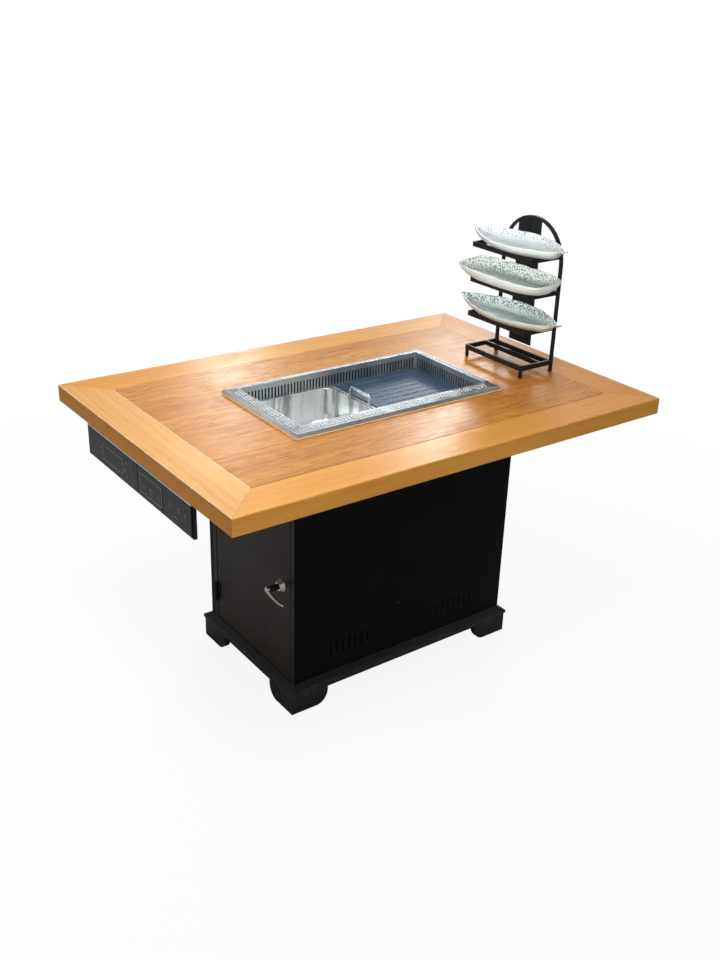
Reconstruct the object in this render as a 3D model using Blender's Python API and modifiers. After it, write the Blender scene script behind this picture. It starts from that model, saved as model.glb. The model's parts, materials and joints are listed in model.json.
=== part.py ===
"""Barbecue and hot-pot table: wooden top on a louvred cabinet, drop-in cooker, smoke fan and dish rack.

Units are metres, +Z is up and +X runs along the table's long side. The origin is the floor point under
the centre of the table top. The louvred front is at -Y and the door is in the -X end.
"""

import bmesh
import bpy
from math import copysign, cos, pi, sin, sqrt

# Clearances
SEAT_GAP = 0.0003
MITRE_GAP = 0.0003
LIFT_CLEARANCE = 0.002
DOOR_GAP = 0.003
SPINDLE_CLEARANCE = 0.0006

# Table top
TABLE_LENGTH = 1.300
TABLE_WIDTH = 0.900
TABLE_HEIGHT = 0.745
TOP_THICKNESS = 0.044
BORDER_WIDTH = 0.104
TOP_CHAMFER = 0.0020
SEAM_CHAMFER = 0.0015

# Cabinet
CABINET_END_ROOM = 0.028
CABINET_SIDE_ROOM = 0.0345
PANEL_THICKNESS = 0.016
FLOOR_THICKNESS = 0.016
TOP_RAIL_HEIGHT = 0.040
TOP_RAIL_THICKNESS = 0.018

# Louvres in the front panel
LOUVRE_COUNT = 7
LOUVRE_PITCH = 0.0195
LOUVRE_WIDTH = 0.008
LOUVRE_HEIGHT = 0.035
LOUVRE_CENTRE_HEIGHT = 0.148
LOUVRE_END_DISTANCE = 0.173

# Plinth and feet
PLINTH_PROJECTION = 0.0185
PLINTH_TOP = 0.079
PLINTH_LIP = 0.067
PLINTH_LIP_THICKNESS = 0.008
PLINTH_UNDERCUT = 0.003
PLINTH_RAIL_BOTTOM = 0.048
PLINTH_RAIL_WIDTH = 0.055
FOOT_LENGTH = 0.112
FOOT_BACK_LENGTH = 0.070
FOOT_THICKNESS = 0.020
FOOT_CURVE_LENGTH = 0.034
FOOT_CURVE_HEIGHT = 0.042

# Door, hinges and handle
DOOR_THICKNESS = 0.018
DOOR_HEAD_RAIL = 0.100
HINGE_STILE_WIDTH = 0.020
HINGE_HALF_HEIGHT = 0.028
HINGE_LOW_CENTRE = 0.165
HINGE_HEAD_DISTANCE = 0.080
HINGE_BARREL_RADIUS = 0.005
HINGE_PIN_RADIUS = 0.0025
HINGE_LEAF_WIDTH = 0.012
HINGE_LEAF_THICKNESS = 0.002
HINGE_LEAF_INSET = 0.002
HINGE_AXIS_PROUD = 0.006
CATCH_HEAD_DISTANCE = 0.120
CATCH_LENGTH = 0.050
CATCH_DEPTH = 0.018
CATCH_WIDTH = 0.015
HANDLE_HEIGHT = 0.348
HANDLE_EDGE_DISTANCE = 0.0385
ROSETTE_SIDES = 8
ROSETTE_RADIUS = 0.0185
ROSETTE_NECK_RADIUS = 0.0115
ROSETTE_THICKNESS = 0.012
SPINDLE_RADIUS = 0.0080
SPINDLE_REACH = 0.022
LEVER_BOSS_RADIUS = 0.0085
LEVER_BOSS_LENGTH = 0.012
LEVER_LENGTH = 0.058
LEVER_RADIUS = 0.0062
LEVER_TIP_RADIUS = 0.0018
LEVER_DROP_ANGLE = 0.45
LEVER_CURL = 0.012
CAM_LENGTH = 0.018
CAM_WIDTH = 0.018
CAM_THICKNESS = 0.004

# Cooker rim, slotted walls and deck
RIM_LENGTH = 0.646
RIM_WIDTH = 0.360
RIM_RAIL_WIDTH = 0.033
RIM_OUTER_HEIGHT = 0.0135
RIM_INNER_HEIGHT = 0.0175
RIM_SHEET = 0.0025
RIM_OVERLAP = 0.010
WALL_SHEET = 0.002
WALL_SLOT_PITCH = 0.0100
WALL_SLOT_WIDTH = 0.0048
WALL_SLOT_HEIGHT = 0.030
WALL_SLOT_TOP_DROP = 0.013
WALL_SLOT_END_MARGIN = 0.008
DECK_DEPTH = 0.057
DECK_SHEET = 0.002

# Hot pot
POT_LENGTH = 0.291
POT_SHEET = 0.0015
POT_DEPTH = 0.094
POT_SIDE_FLANGE = 0.020
POT_END_FLANGE = 0.009
POT_SKIRT = 0.028
POT_CORNER_RADIUS = 0.030
POT_BOTTOM_RADIUS = 0.016
POT_HANDLE_WIDTH = 0.088
POT_HANDLE_HEIGHT = 0.033
POT_HANDLE_RADIUS = 0.0040
POT_HANDLE_BEND = 0.009
POT_HANDLE_LIP_DISTANCE = 0.006

# Griddle and its heater
GRIDDLE_THICKNESS = 0.008
GRIDDLE_RIB_HEIGHT = 0.0015
GRIDDLE_RIB_WIDTH = 0.0035
GRIDDLE_RIB_PITCH = 0.026
GRIDDLE_DASH_LENGTH = 0.026
GRIDDLE_DASH_PITCH = 0.034
GRIDDLE_EDGE_MARGIN = 0.026
GRIDDLE_GAP = 0.008
GRIDDLE_SKIRT_HEIGHT = 0.018
GRIDDLE_SKIRT_THICKNESS = 0.010
HEATER_TUBE_RADIUS = 0.004
HEATER_TURN_PITCH = 0.034
HEATER_CLEARANCE = 0.006

# Cooker case and hob
CASE_SHEET = 0.002
CASE_CUTOUT_CLEARANCE = 0.003
CASE_DEPTH = 0.197
HOB_GLASS_THICKNESS = 0.004
HOB_MARGIN = 0.030

# Smoke duct, filter and fan
DUCT_WIDTH = 0.160
DUCT_SHEET = 0.002
DUCT_END_DISTANCE = 0.145
FILTER_THICKNESS = 0.020
FILTER_OVERLAP = 0.012
FILTER_CELLS = 5
FILTER_BAR = 0.006
FAN_SHEET = 0.002
FAN_SIDE_CLEARANCE = 0.020
FAN_ROOF_CLEARANCE = 0.030
FAN_INLET_RADIUS = 0.070
FAN_OUTLET_WIDTH = 0.136
FAN_OUTLET_HEIGHT = 0.050
MOTOR_RADIUS = 0.048
MOTOR_HEIGHT = 0.110
SHAFT_RADIUS = 0.006
SHAFT_LENGTH = 0.046
HUB_RADIUS = 0.018
IMPELLER_RADIUS = 0.090
IMPELLER_HEIGHT = 0.050
IMPELLER_DISC = 0.003
IMPELLER_BLADES = 12
IMPELLER_BLADE_DEPTH = 0.030
IMPELLER_BLADE_THICKNESS = 0.0025
IMPELLER_CLEARANCE = 0.004

# Control panel under the left edge of the top
CONTROL_LENGTH = 0.550
CONTROL_DROP = 0.085
CONTROL_THICKNESS = 0.009
CONTROL_FLANGE = 0.040
CONTROL_FLANGE_SHEET = 0.003
CONTROL_BORDER = 0.004
TOUCH_GLASS = 0.003
TOUCH_SEAM = 0.002
TOUCH_MIDDLE_LENGTH = 0.126
TOUCH_NEAR_LENGTH = 0.134

# Dish rack
RACK_END_DISTANCE = 0.225
RACK_CENTRE_Y = -0.029
RACK_DEPTH = 0.124
RACK_WIDTH = 0.232
RACK_BASE_HEIGHT = 0.035
RACK_BAR_THICKNESS = 0.005
RACK_BAR_HEIGHT = 0.014
RACK_LEG_WIDTH = 0.008
RACK_UPRIGHT_WIDTH = 0.007
RACK_UPRIGHT_DEPTH = 0.010
RACK_ARCH_TOP = 0.414
RACK_WELD_INSET = 0.0005
RACK_SLAT_WIDTH = 0.088
RACK_SLAT_THICKNESS = 0.003
RACK_SLAT_SHIFT = 0.018
RACK_SLAT_BOTTOM = 0.050
RACK_SLAT_WELD = 0.003
RACK_FIRST_TIER = 0.135
RACK_TIER_PITCH = 0.099
RACK_CROSS_BAR_SHARE = 0.65
TIER_NAMES = ("low", "middle", "top")

# Dishes
DISH_WALL = 0.004
DISH_WIDTH = 0.138
DISH_BACK_RISE = 0.012
DISH_FORWARD = 0.014
BOAT_ROUNDNESS = 0.95
BOAT_FLAT_SHARE = 0.72
BOAT_DEPTH = 0.029
LOW_BOAT_LENGTH = 0.396
LOW_BOAT_SHIFT = -0.004
TOP_BOAT_LENGTH = 0.358
TOP_BOAT_SHIFT = -0.020
TRAY_ROUNDNESS = 0.17
TRAY_FLAT_SHARE = 0.53
TRAY_DEPTH = 0.034
TRAY_LENGTH = 0.334
TRAY_SHIFT = 0.008

# Fineness of round shapes
ROUND_SEGMENTS = 32
CURVE_STEPS = 8
BEND_STEPS = 4
ARCH_STEPS = 24
TUBE_RESOLUTION = 2
DISH_RINGS = 16
WELD_DISTANCE = 0.00005

# Derived levels and half sizes
TOP_UNDERSIDE = TABLE_HEIGHT - TOP_THICKNESS
CABINET_TOP = TOP_UNDERSIDE - SEAT_GAP
CABINET_BASE = PLINTH_TOP + SEAT_GAP
CABINET_LENGTH = RIM_LENGTH + 2 * CABINET_END_ROOM
CABINET_DEPTH = RIM_WIDTH + 2 * CABINET_SIDE_ROOM
CABINET_HALF_LENGTH = CABINET_LENGTH / 2
CABINET_HALF_DEPTH = CABINET_DEPTH / 2
LOUVRE_GROUP_OFFSET = CABINET_HALF_LENGTH - LOUVRE_END_DISTANCE
INSIDE_HALF_DEPTH = CABINET_HALF_DEPTH - PANEL_THICKNESS
FLOOR_TOP = CABINET_BASE + FLOOR_THICKNESS
RIM_HALF_LENGTH = RIM_LENGTH / 2
RIM_HALF_WIDTH = RIM_WIDTH / 2
WELL_HALF_LENGTH = RIM_HALF_LENGTH - RIM_RAIL_WIDTH
WELL_HALF_WIDTH = RIM_HALF_WIDTH - RIM_RAIL_WIDTH
CUTOUT_HALF_LENGTH = RIM_HALF_LENGTH - RIM_OVERLAP
CUTOUT_HALF_WIDTH = RIM_HALF_WIDTH - RIM_OVERLAP
CASE_HALF_LENGTH = CUTOUT_HALF_LENGTH - CASE_CUTOUT_CLEARANCE
CASE_HALF_WIDTH = CUTOUT_HALF_WIDTH - CASE_CUTOUT_CLEARANCE
RIM_SLOPE = (RIM_INNER_HEIGHT - RIM_OUTER_HEIGHT) / RIM_RAIL_WIDTH
WALL_TOP = TABLE_HEIGHT + RIM_INNER_HEIGHT - RIM_SHEET - RIM_SLOPE * WALL_SHEET - SEAT_GAP
CASE_INSET = RIM_HALF_LENGTH - CASE_HALF_LENGTH
CASE_TOP = TABLE_HEIGHT + RIM_OUTER_HEIGHT + RIM_SLOPE * CASE_INSET - RIM_SHEET - SEAT_GAP
DECK_TOP = TABLE_HEIGHT - DECK_DEPTH
WALL_BOTTOM = DECK_TOP + SEAT_GAP
DECK_HALF_LENGTH = WELL_HALF_LENGTH + WALL_SHEET
DECK_HALF_WIDTH = WELL_HALF_WIDTH + WALL_SHEET
CASE_BOTTOM = TABLE_HEIGHT - CASE_DEPTH
CASE_FLOOR = CASE_BOTTOM + CASE_SHEET
POT_LEFT = -WELL_HALF_LENGTH + LIFT_CLEARANCE
POT_RIGHT = POT_LEFT + POT_LENGTH
POT_CENTRE_X = (POT_LEFT + POT_RIGHT) / 2
POT_HALF_WIDTH = WELL_HALF_WIDTH - LIFT_CLEARANCE
POT_FLANGE_TOP = DECK_TOP + SEAT_GAP + POT_SKIRT
POT_UNDERSIDE = POT_FLANGE_TOP - POT_DEPTH - POT_SHEET
BASIN_HALF_LENGTH = POT_LENGTH / 2 - POT_SIDE_FLANGE
BASIN_HALF_WIDTH = POT_HALF_WIDTH - POT_END_FLANGE
GRIDDLE_LEFT = POT_RIGHT + GRIDDLE_GAP
GRIDDLE_RIGHT = WELL_HALF_LENGTH - LIFT_CLEARANCE
GRIDDLE_CENTRE_X = (GRIDDLE_LEFT + GRIDDLE_RIGHT) / 2
GRIDDLE_LENGTH = GRIDDLE_RIGHT - GRIDDLE_LEFT
HEATER_HALF_LENGTH = GRIDDLE_LENGTH / 2 - GRIDDLE_SKIRT_THICKNESS
HEATER_HALF_WIDTH = POT_HALF_WIDTH - GRIDDLE_SKIRT_THICKNESS
HOB_GLASS_TOP = POT_UNDERSIDE - SEAT_GAP
FAN_FRONT = -INSIDE_HALF_DEPTH + SEAT_GAP
FAN_INNER_HALF = IMPELLER_RADIUS + FAN_SIDE_CLEARANCE
FAN_FLOOR = FLOOR_TOP + SEAT_GAP + FAN_SHEET
MOTOR_BASE = FAN_FLOOR + SEAT_GAP
MOTOR_TOP = MOTOR_BASE + MOTOR_HEIGHT
IMPELLER_BASE = MOTOR_TOP + IMPELLER_CLEARANCE
FAN_ROOF = IMPELLER_BASE + IMPELLER_HEIGHT + FAN_ROOF_CLEARANCE
FAN_TOP = FAN_ROOF + FAN_SHEET
FILTER_BASE = FAN_TOP + SEAT_GAP
DUCT_BOTTOM = FILTER_BASE + FILTER_THICKNESS + SEAT_GAP
DUCT_TOP = CASE_BOTTOM - SEAT_GAP
DUCT_CENTRE_X = CASE_HALF_LENGTH - DUCT_END_DISTANCE
DOOR_FACE_X = -CABINET_HALF_LENGTH
DOOR_INNER_X = DOOR_FACE_X + DOOR_THICKNESS
DOOR_CENTRE_X = DOOR_FACE_X + DOOR_THICKNESS / 2
DOOR_FREE_Y = -INSIDE_HALF_DEPTH + DOOR_GAP
HINGE_STILE_Y = INSIDE_HALF_DEPTH - HINGE_STILE_WIDTH
HINGE_AXIS_X = DOOR_FACE_X - HINGE_AXIS_PROUD
HINGE_AXIS_Y = HINGE_STILE_Y - DOOR_GAP / 2
DOOR_HINGE_Y = HINGE_STILE_Y - DOOR_GAP
DOOR_BASE = CABINET_BASE + DOOR_GAP
DOOR_HEAD_HEIGHT = CABINET_TOP - DOOR_HEAD_RAIL
DOOR_TOP = DOOR_HEAD_HEIGHT - DOOR_GAP
HINGE_HIGH_CENTRE = DOOR_HEAD_HEIGHT - HINGE_HEAD_DISTANCE
CATCH_HEIGHT = DOOR_HEAD_HEIGHT - CATCH_HEAD_DISTANCE
HANDLE_Y = DOOR_FREE_Y + HANDLE_EDGE_DISTANCE
RACK_FLOOR = TABLE_HEIGHT + SEAT_GAP
RACK_FRONT_X = TABLE_LENGTH / 2 - RACK_END_DISTANCE
RACK_BACK_X = RACK_FRONT_X + RACK_DEPTH
RACK_HALF_WIDTH = RACK_WIDTH / 2

COLLECTION_NAME = "barbecue_table"
CUTTER_COLLECTION_NAME = "barbecue_table_cutters"


def clear_scene():
    """Remove every object so that the script starts from an empty scene."""
    for existing in list(bpy.data.objects):
        bpy.data.objects.remove(existing, do_unlink=True)


def make_collection(name):
    """Return a collection linked to the scene."""
    collection = bpy.data.collections.new(name)
    bpy.context.scene.collection.children.link(collection)
    return collection


def make_material(name, colour, roughness, metallic):
    """Return a Principled material."""
    material = bpy.data.materials.new(name)
    material.use_nodes = True
    shader = material.node_tree.nodes["Principled BSDF"]
    shader.inputs["Base Color"].default_value = (*colour, 1.0)
    shader.inputs["Roughness"].default_value = roughness
    shader.inputs["Metallic"].default_value = metallic
    return material


clear_scene()
PARTS = make_collection(COLLECTION_NAME)
CUTTERS = make_collection(CUTTER_COLLECTION_NAME)

WOOD_FIELD = make_material("oiled_wood_field", (0.52, 0.25, 0.10), 0.40, 0.0)
WOOD_BORDER = make_material("oiled_wood_border", (0.62, 0.36, 0.14), 0.40, 0.0)
BLACK_LACQUER = make_material("black_lacquer", (0.010, 0.010, 0.011), 0.45, 0.0)
PLINTH_LACQUER = make_material("plinth_lacquer", (0.012, 0.013, 0.015), 0.45, 0.0)
PLAIN_BOARD = make_material("plain_board", (0.30, 0.22, 0.14), 0.7, 0.0)
STEEL = make_material("brushed_steel", (0.52, 0.56, 0.60), 0.32, 1.0)
POT_STEEL = make_material("polished_steel", (0.62, 0.66, 0.64), 0.14, 1.0)
SHEET_STEEL = make_material("galvanised_sheet", (0.50, 0.52, 0.53), 0.50, 1.0)
GRIDDLE_COATING = make_material("griddle_coating", (0.045, 0.055, 0.085), 0.42, 0.2)
HEATER_SHEATH = make_material("heater_sheath", (0.16, 0.14, 0.13), 0.55, 0.8)
BLACK_PLASTIC = make_material("black_plastic", (0.020, 0.020, 0.021), 0.45, 0.0)
BLACK_GLASS = make_material("black_glass", (0.045, 0.045, 0.040), 0.12, 0.0)
CHROME = make_material("chrome", (0.75, 0.76, 0.78), 0.10, 1.0)
BLACK_IRON = make_material("black_iron", (0.012, 0.012, 0.014), 0.42, 0.3)
GLAZE = make_material("celadon_glaze", (0.66, 0.70, 0.64), 0.18, 0.0)


def finish(obj, name, material):
    """Name a part, give it its material and file it with the parts."""
    obj.name = name
    obj.data.name = name
    obj.data.materials.clear()
    obj.data.materials.append(material)
    for collection in list(obj.users_collection):
        collection.objects.unlink(obj)
    PARTS.objects.link(obj)
    return obj


def as_cutter(obj):
    """File a helper shape with the cutters and keep it out of renders."""
    for collection in list(obj.users_collection):
        collection.objects.unlink(obj)
    CUTTERS.objects.link(obj)
    obj.hide_render = True
    obj.display_type = "WIRE"
    return obj


def mesh_object(name, mesh):
    """Return a new object for a mesh, linked to the scene."""
    obj = bpy.data.objects.new(name, mesh)
    bpy.context.scene.collection.objects.link(obj)
    return obj


def box(low, high):
    """Return a box between two opposite corners."""
    mesh = bpy.data.meshes.new("box")
    shape = bmesh.new()
    bmesh.ops.create_cube(shape, size=1.0)
    size = [b - a for a, b in zip(low, high)]
    bmesh.ops.scale(shape, vec=size, verts=shape.verts)
    shape.to_mesh(mesh)
    shape.free()
    obj = mesh_object("box", mesh)
    obj.location = [(a + b) / 2 for a, b in zip(low, high)]
    return obj


def cylinder(radius, length, location, axis="Z"):
    """Return a closed cylinder centred at a location, along X, Y or Z."""
    mesh = bpy.data.meshes.new("cylinder")
    shape = bmesh.new()
    bmesh.ops.create_cone(
        shape,
        cap_ends=True,
        segments=ROUND_SEGMENTS,
        radius1=radius,
        radius2=radius,
        depth=length,
    )
    shape.to_mesh(mesh)
    shape.free()
    obj = mesh_object("cylinder", mesh)
    obj.location = location
    obj.rotation_euler = {"X": (0, pi / 2, 0), "Y": (pi / 2, 0, 0), "Z": (0, 0, 0)}[axis]
    return obj


def curve_to_mesh(curve_object):
    """Turn a curve object into a mesh object with welded caps, and remove the curve."""
    bpy.context.view_layer.update()
    graph = bpy.context.evaluated_depsgraph_get()
    mesh = bpy.data.meshes.new_from_object(curve_object.evaluated_get(graph))
    shape = bmesh.new()
    shape.from_mesh(mesh)
    bmesh.ops.remove_doubles(shape, verts=shape.verts, dist=WELD_DISTANCE)
    flat = [face for face in shape.faces if len(face.verts) == 3]
    inner = [edge for edge in shape.edges if all(face in flat for face in edge.link_faces)]
    bmesh.ops.beautify_fill(shape, faces=flat, edges=inner)
    bmesh.ops.recalc_face_normals(shape, faces=shape.faces)
    shape.to_mesh(mesh)
    shape.free()
    obj = mesh_object(curve_object.name, mesh)
    obj.matrix_world = curve_object.matrix_world
    bpy.data.objects.remove(curve_object, do_unlink=True)
    return obj


def flat_outline(loops, thickness):
    """Extrude closed outlines, the first outside and the rest holes, evenly about their own XY plane."""
    curve = bpy.data.curves.new("outline", "CURVE")
    curve.dimensions = "2D"
    curve.fill_mode = "BOTH"
    curve.extrude = thickness / 2
    for loop in loops:
        spline = curve.splines.new("POLY")
        spline.points.add(len(loop) - 1)
        for point, (u, v) in zip(spline.points, loop):
            point.co = (u, v, 0.0, 1.0)
        spline.use_cyclic_u = True
    return curve_to_mesh(mesh_object("outline", curve))


def tube(points, radius, radii=None):
    """Return a round bar along a line of points, with filled caps."""
    curve = bpy.data.curves.new("tube", "CURVE")
    curve.dimensions = "3D"
    curve.bevel_depth = radius
    curve.bevel_resolution = TUBE_RESOLUTION
    curve.use_fill_caps = True
    spline = curve.splines.new("POLY")
    spline.points.add(len(points) - 1)
    for index, (point, place) in enumerate(zip(spline.points, points)):
        point.co = (*place, 1.0)
        point.radius = radii[index] if radii else 1.0
    return curve_to_mesh(mesh_object("tube", curve))


def bake_modifiers(obj):
    """Replace an object's mesh by its evaluated one, without modifiers."""
    bpy.context.view_layer.update()
    graph = bpy.context.evaluated_depsgraph_get()
    mesh = bpy.data.meshes.new_from_object(obj.evaluated_get(graph))
    obj.modifiers.clear()
    obj.data = mesh
    return obj


def combine(base, others, operation):
    """Join or cut a shape with others by exact Booleans, in order."""
    for other in others:
        as_cutter(other)
        modifier = base.modifiers.new(operation.lower(), "BOOLEAN")
        modifier.operation = operation
        modifier.solver = "EXACT"
        modifier.object = other
    bake_modifiers(base)
    for other in others:
        bpy.data.objects.remove(other, do_unlink=True)
    return base


def union(shapes):
    """Return one closed solid from overlapping shapes."""
    return combine(shapes[0], shapes[1:], "UNION")


def merge(shapes):
    """Return one object that holds the given shapes in world space."""
    bpy.context.view_layer.update()
    shape = bmesh.new()
    for part in shapes:
        part.data.transform(part.matrix_world)
        shape.from_mesh(part.data)
    mesh = bpy.data.meshes.new("merged")
    shape.to_mesh(mesh)
    shape.free()
    for part in shapes:
        bpy.data.objects.remove(part, do_unlink=True)
    return mesh_object("merged", mesh)


def rectangle(low_u, low_v, high_u, high_v):
    """Return the corners of a rectangle, anticlockwise."""
    return [(low_u, low_v), (high_u, low_v), (high_u, high_v), (low_u, high_v)]


def rounded_slot(centre_u, centre_v, width, height):
    """Return an upright slot with half-round ends."""
    radius = width / 2
    straight = height / 2 - radius
    points = []
    for end, start in ((straight, 0.0), (-straight, pi)):
        for step in range(BEND_STEPS + 1):
            angle = start + pi * step / BEND_STEPS
            points.append((centre_u + radius * cos(angle), centre_v + end + radius * sin(angle)))
    return points


def circle(centre_u, centre_v, radius, steps=ROUND_SEGMENTS):
    """Return a regular outline about a centre."""
    turns = [2 * pi * step / steps for step in range(steps)]
    return [(centre_u + radius * cos(turn), centre_v + radius * sin(turn)) for turn in turns]


def stand_along_x(obj, y):
    """Stand a flat outline up with its width along X, its height along Z and its middle at y."""
    obj.rotation_euler = (pi / 2, 0, 0)
    obj.location = (0, y, 0)
    return obj


def stand_along_y(obj, x):
    """Stand a flat outline up with its width along Y, its height along Z and its middle at x."""
    obj.rotation_euler = (pi / 2, 0, pi / 2)
    obj.location = (x, 0, 0)
    return obj


def mitred_rail(profile, run):
    """Extrude a profile of (inset, height) points along X, with both ends mitred inwards."""
    rail = flat_outline([profile], run)
    for vertex in rail.data.vertices:
        inset, height, along = vertex.co
        reach = run / 2 - inset - MITRE_GAP / 2
        vertex.co = (copysign(reach, along), inset, height)
    return rail


def mitred_frame(suffix, profile, length, width, material):
    """Build four mitred rails round a rectangle, named by their side."""
    sides = (
        ("front", length, (0, -width / 2, 0), 0.0),
        ("right", width, (length / 2, 0, 0), pi / 2),
        ("rear", length, (0, width / 2, 0), pi),
        ("left", width, (-length / 2, 0, 0), -pi / 2),
    )
    for side, run, place, turn in sides:
        rail = mitred_rail(profile, run)
        rail.location = place
        rail.rotation_euler = (0, 0, turn)
        finish(rail, side + suffix, material)


def build_table_top():
    """Wooden field with the cooker cut-out, and a mitred border of four boards."""
    border = [
        (0, TOP_UNDERSIDE),
        (BORDER_WIDTH, TOP_UNDERSIDE),
        (BORDER_WIDTH, TABLE_HEIGHT - SEAM_CHAMFER),
        (BORDER_WIDTH - SEAM_CHAMFER, TABLE_HEIGHT),
        (TOP_CHAMFER, TABLE_HEIGHT),
        (0, TABLE_HEIGHT - TOP_CHAMFER),
    ]
    mitred_frame("_border_board", border, TABLE_LENGTH, TABLE_WIDTH, WOOD_BORDER)
    half_length = TABLE_LENGTH / 2 - BORDER_WIDTH - SEAT_GAP
    half_width = TABLE_WIDTH / 2 - BORDER_WIDTH - SEAT_GAP
    outside = rectangle(-half_length, -half_width, half_length, half_width)
    cutout = rectangle(
        -CUTOUT_HALF_LENGTH, -CUTOUT_HALF_WIDTH, CUTOUT_HALF_LENGTH, CUTOUT_HALF_WIDTH
    )
    field = flat_outline([outside, cutout], TOP_THICKNESS)
    field.location = (0, 0, TABLE_HEIGHT - TOP_THICKNESS / 2)
    finish(field, "top_field_panel", WOOD_FIELD)


def build_cabinet():
    """Louvred front, plain rear and end panels, floor and the frame that holds the top."""
    outside = rectangle(-CABINET_HALF_LENGTH, CABINET_BASE, CABINET_HALF_LENGTH, CABINET_TOP)
    louvres = []
    for side in (-1, 1):
        for index in range(LOUVRE_COUNT):
            along = side * LOUVRE_GROUP_OFFSET + (index - (LOUVRE_COUNT - 1) / 2) * LOUVRE_PITCH
            louvres.append(rounded_slot(along, LOUVRE_CENTRE_HEIGHT, LOUVRE_WIDTH, LOUVRE_HEIGHT))
    panel_y = CABINET_HALF_DEPTH - PANEL_THICKNESS / 2
    front = stand_along_x(flat_outline([outside] + louvres, PANEL_THICKNESS), -panel_y)
    finish(front, "front_panel", BLACK_LACQUER)
    rear = stand_along_x(flat_outline([outside], PANEL_THICKNESS), panel_y)
    finish(rear, "rear_panel", BLACK_LACQUER)

    half_depth = INSIDE_HALF_DEPTH - SEAT_GAP
    right_inner = CABINET_HALF_LENGTH - PANEL_THICKNESS
    end = box((right_inner, -half_depth, CABINET_BASE), (CABINET_HALF_LENGTH, half_depth, CABINET_TOP))
    finish(end, "right_end_panel", BLACK_LACQUER)

    floor_left = DOOR_INNER_X + DOOR_GAP
    floor_right = right_inner - SEAT_GAP
    floor = box((floor_left, -half_depth, CABINET_BASE), (floor_right, half_depth, FLOOR_TOP))
    finish(floor, "cabinet_floor", PLAIN_BOARD)

    ring_left = DOOR_INNER_X + SEAT_GAP
    ring = rectangle(ring_left, -half_depth, floor_right, half_depth)
    opening = rectangle(
        ring_left + TOP_RAIL_THICKNESS,
        -half_depth + TOP_RAIL_THICKNESS,
        floor_right - TOP_RAIL_THICKNESS,
        half_depth - TOP_RAIL_THICKNESS,
    )
    support = flat_outline([ring, opening], TOP_RAIL_HEIGHT)
    support.location = (0, 0, CABINET_TOP - TOP_RAIL_HEIGHT / 2)
    finish(support, "top_support_frame", PLAIN_BOARD)


def build_plinth():
    """Moulded plinth of four mitred rails on four bracket feet."""
    lip_underside = PLINTH_LIP - PLINTH_LIP_THICKNESS
    moulding = [
        (PLINTH_UNDERCUT, PLINTH_RAIL_BOTTOM),
        (PLINTH_RAIL_WIDTH, PLINTH_RAIL_BOTTOM),
        (PLINTH_RAIL_WIDTH, PLINTH_TOP),
        (PLINTH_PROJECTION, PLINTH_TOP),
        (0, PLINTH_LIP),
        (0, lip_underside),
        (PLINTH_UNDERCUT, lip_underside - PLINTH_UNDERCUT),
    ]
    length = CABINET_LENGTH + 2 * PLINTH_PROJECTION
    width = CABINET_DEPTH + 2 * PLINTH_PROJECTION
    mitred_frame("_plinth_rail", moulding, length, width, PLINTH_LACQUER)

    corner_x = length / 2 - PLINTH_UNDERCUT
    corner_y = width / 2 - PLINTH_UNDERCUT
    for end, side_x in (("left", -1), ("right", 1)):
        for face, side_y, run_x in (("front", -1, FOOT_LENGTH), ("rear", 1, FOOT_BACK_LENGTH)):
            leg_x = foot_leg(side_x * corner_x, -side_x, run_x)
            leg_y = foot_leg(side_y * corner_y, -side_y, FOOT_LENGTH)
            stand_along_x(leg_x, side_y * (corner_y - FOOT_THICKNESS / 2))
            stand_along_y(leg_y, side_x * (corner_x - FOOT_THICKNESS / 2))
            finish(merge([union([leg_x, leg_y])]), f"{face}_{end}_foot", PLINTH_LACQUER)


def foot_leg(corner, way, length):
    """Return one leg of a bracket foot, from its corner inwards, with its inner edge curved."""
    height = PLINTH_RAIL_BOTTOM - SEAT_GAP
    straight = length - FOOT_CURVE_LENGTH
    points = [(0, height), (0, 0), (straight, 0)]
    for step in range(1, CURVE_STEPS + 1):
        angle = pi / 2 * step / CURVE_STEPS
        points.append((straight + FOOT_CURVE_LENGTH * sin(angle), FOOT_CURVE_HEIGHT * (1 - cos(angle))))
    points.append((length, height))
    return flat_outline([[(corner + way * along, level) for along, level in points]], FOOT_THICKNESS)


def build_cooker_rim():
    """Folded steel rim with mitred corners, and the four slotted air walls below it."""
    folded = [
        (0, TABLE_HEIGHT + SEAT_GAP),
        (RIM_SHEET, TABLE_HEIGHT + SEAT_GAP),
        (RIM_SHEET, TABLE_HEIGHT + RIM_OUTER_HEIGHT - RIM_SHEET),
        (RIM_RAIL_WIDTH, TABLE_HEIGHT + RIM_INNER_HEIGHT - RIM_SHEET),
        (RIM_RAIL_WIDTH, TABLE_HEIGHT + RIM_INNER_HEIGHT),
        (0, TABLE_HEIGHT + RIM_OUTER_HEIGHT),
    ]
    mitred_frame("_cooker_rim", folded, RIM_LENGTH, RIM_WIDTH, STEEL)
    wall_y = WELL_HALF_WIDTH + WALL_SHEET / 2
    wall_x = WELL_HALF_LENGTH + WALL_SHEET / 2
    end_half = WELL_HALF_WIDTH - SEAT_GAP
    for side, sign in (("front", -1), ("rear", 1)):
        wall = stand_along_x(slotted_wall(WELL_HALF_LENGTH + WALL_SHEET), sign * wall_y)
        finish(wall, side + "_air_wall", STEEL)
    for side, sign in (("left", -1), ("right", 1)):
        wall = stand_along_y(slotted_wall(end_half), sign * wall_x)
        finish(wall, side + "_air_wall", STEEL)


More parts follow.
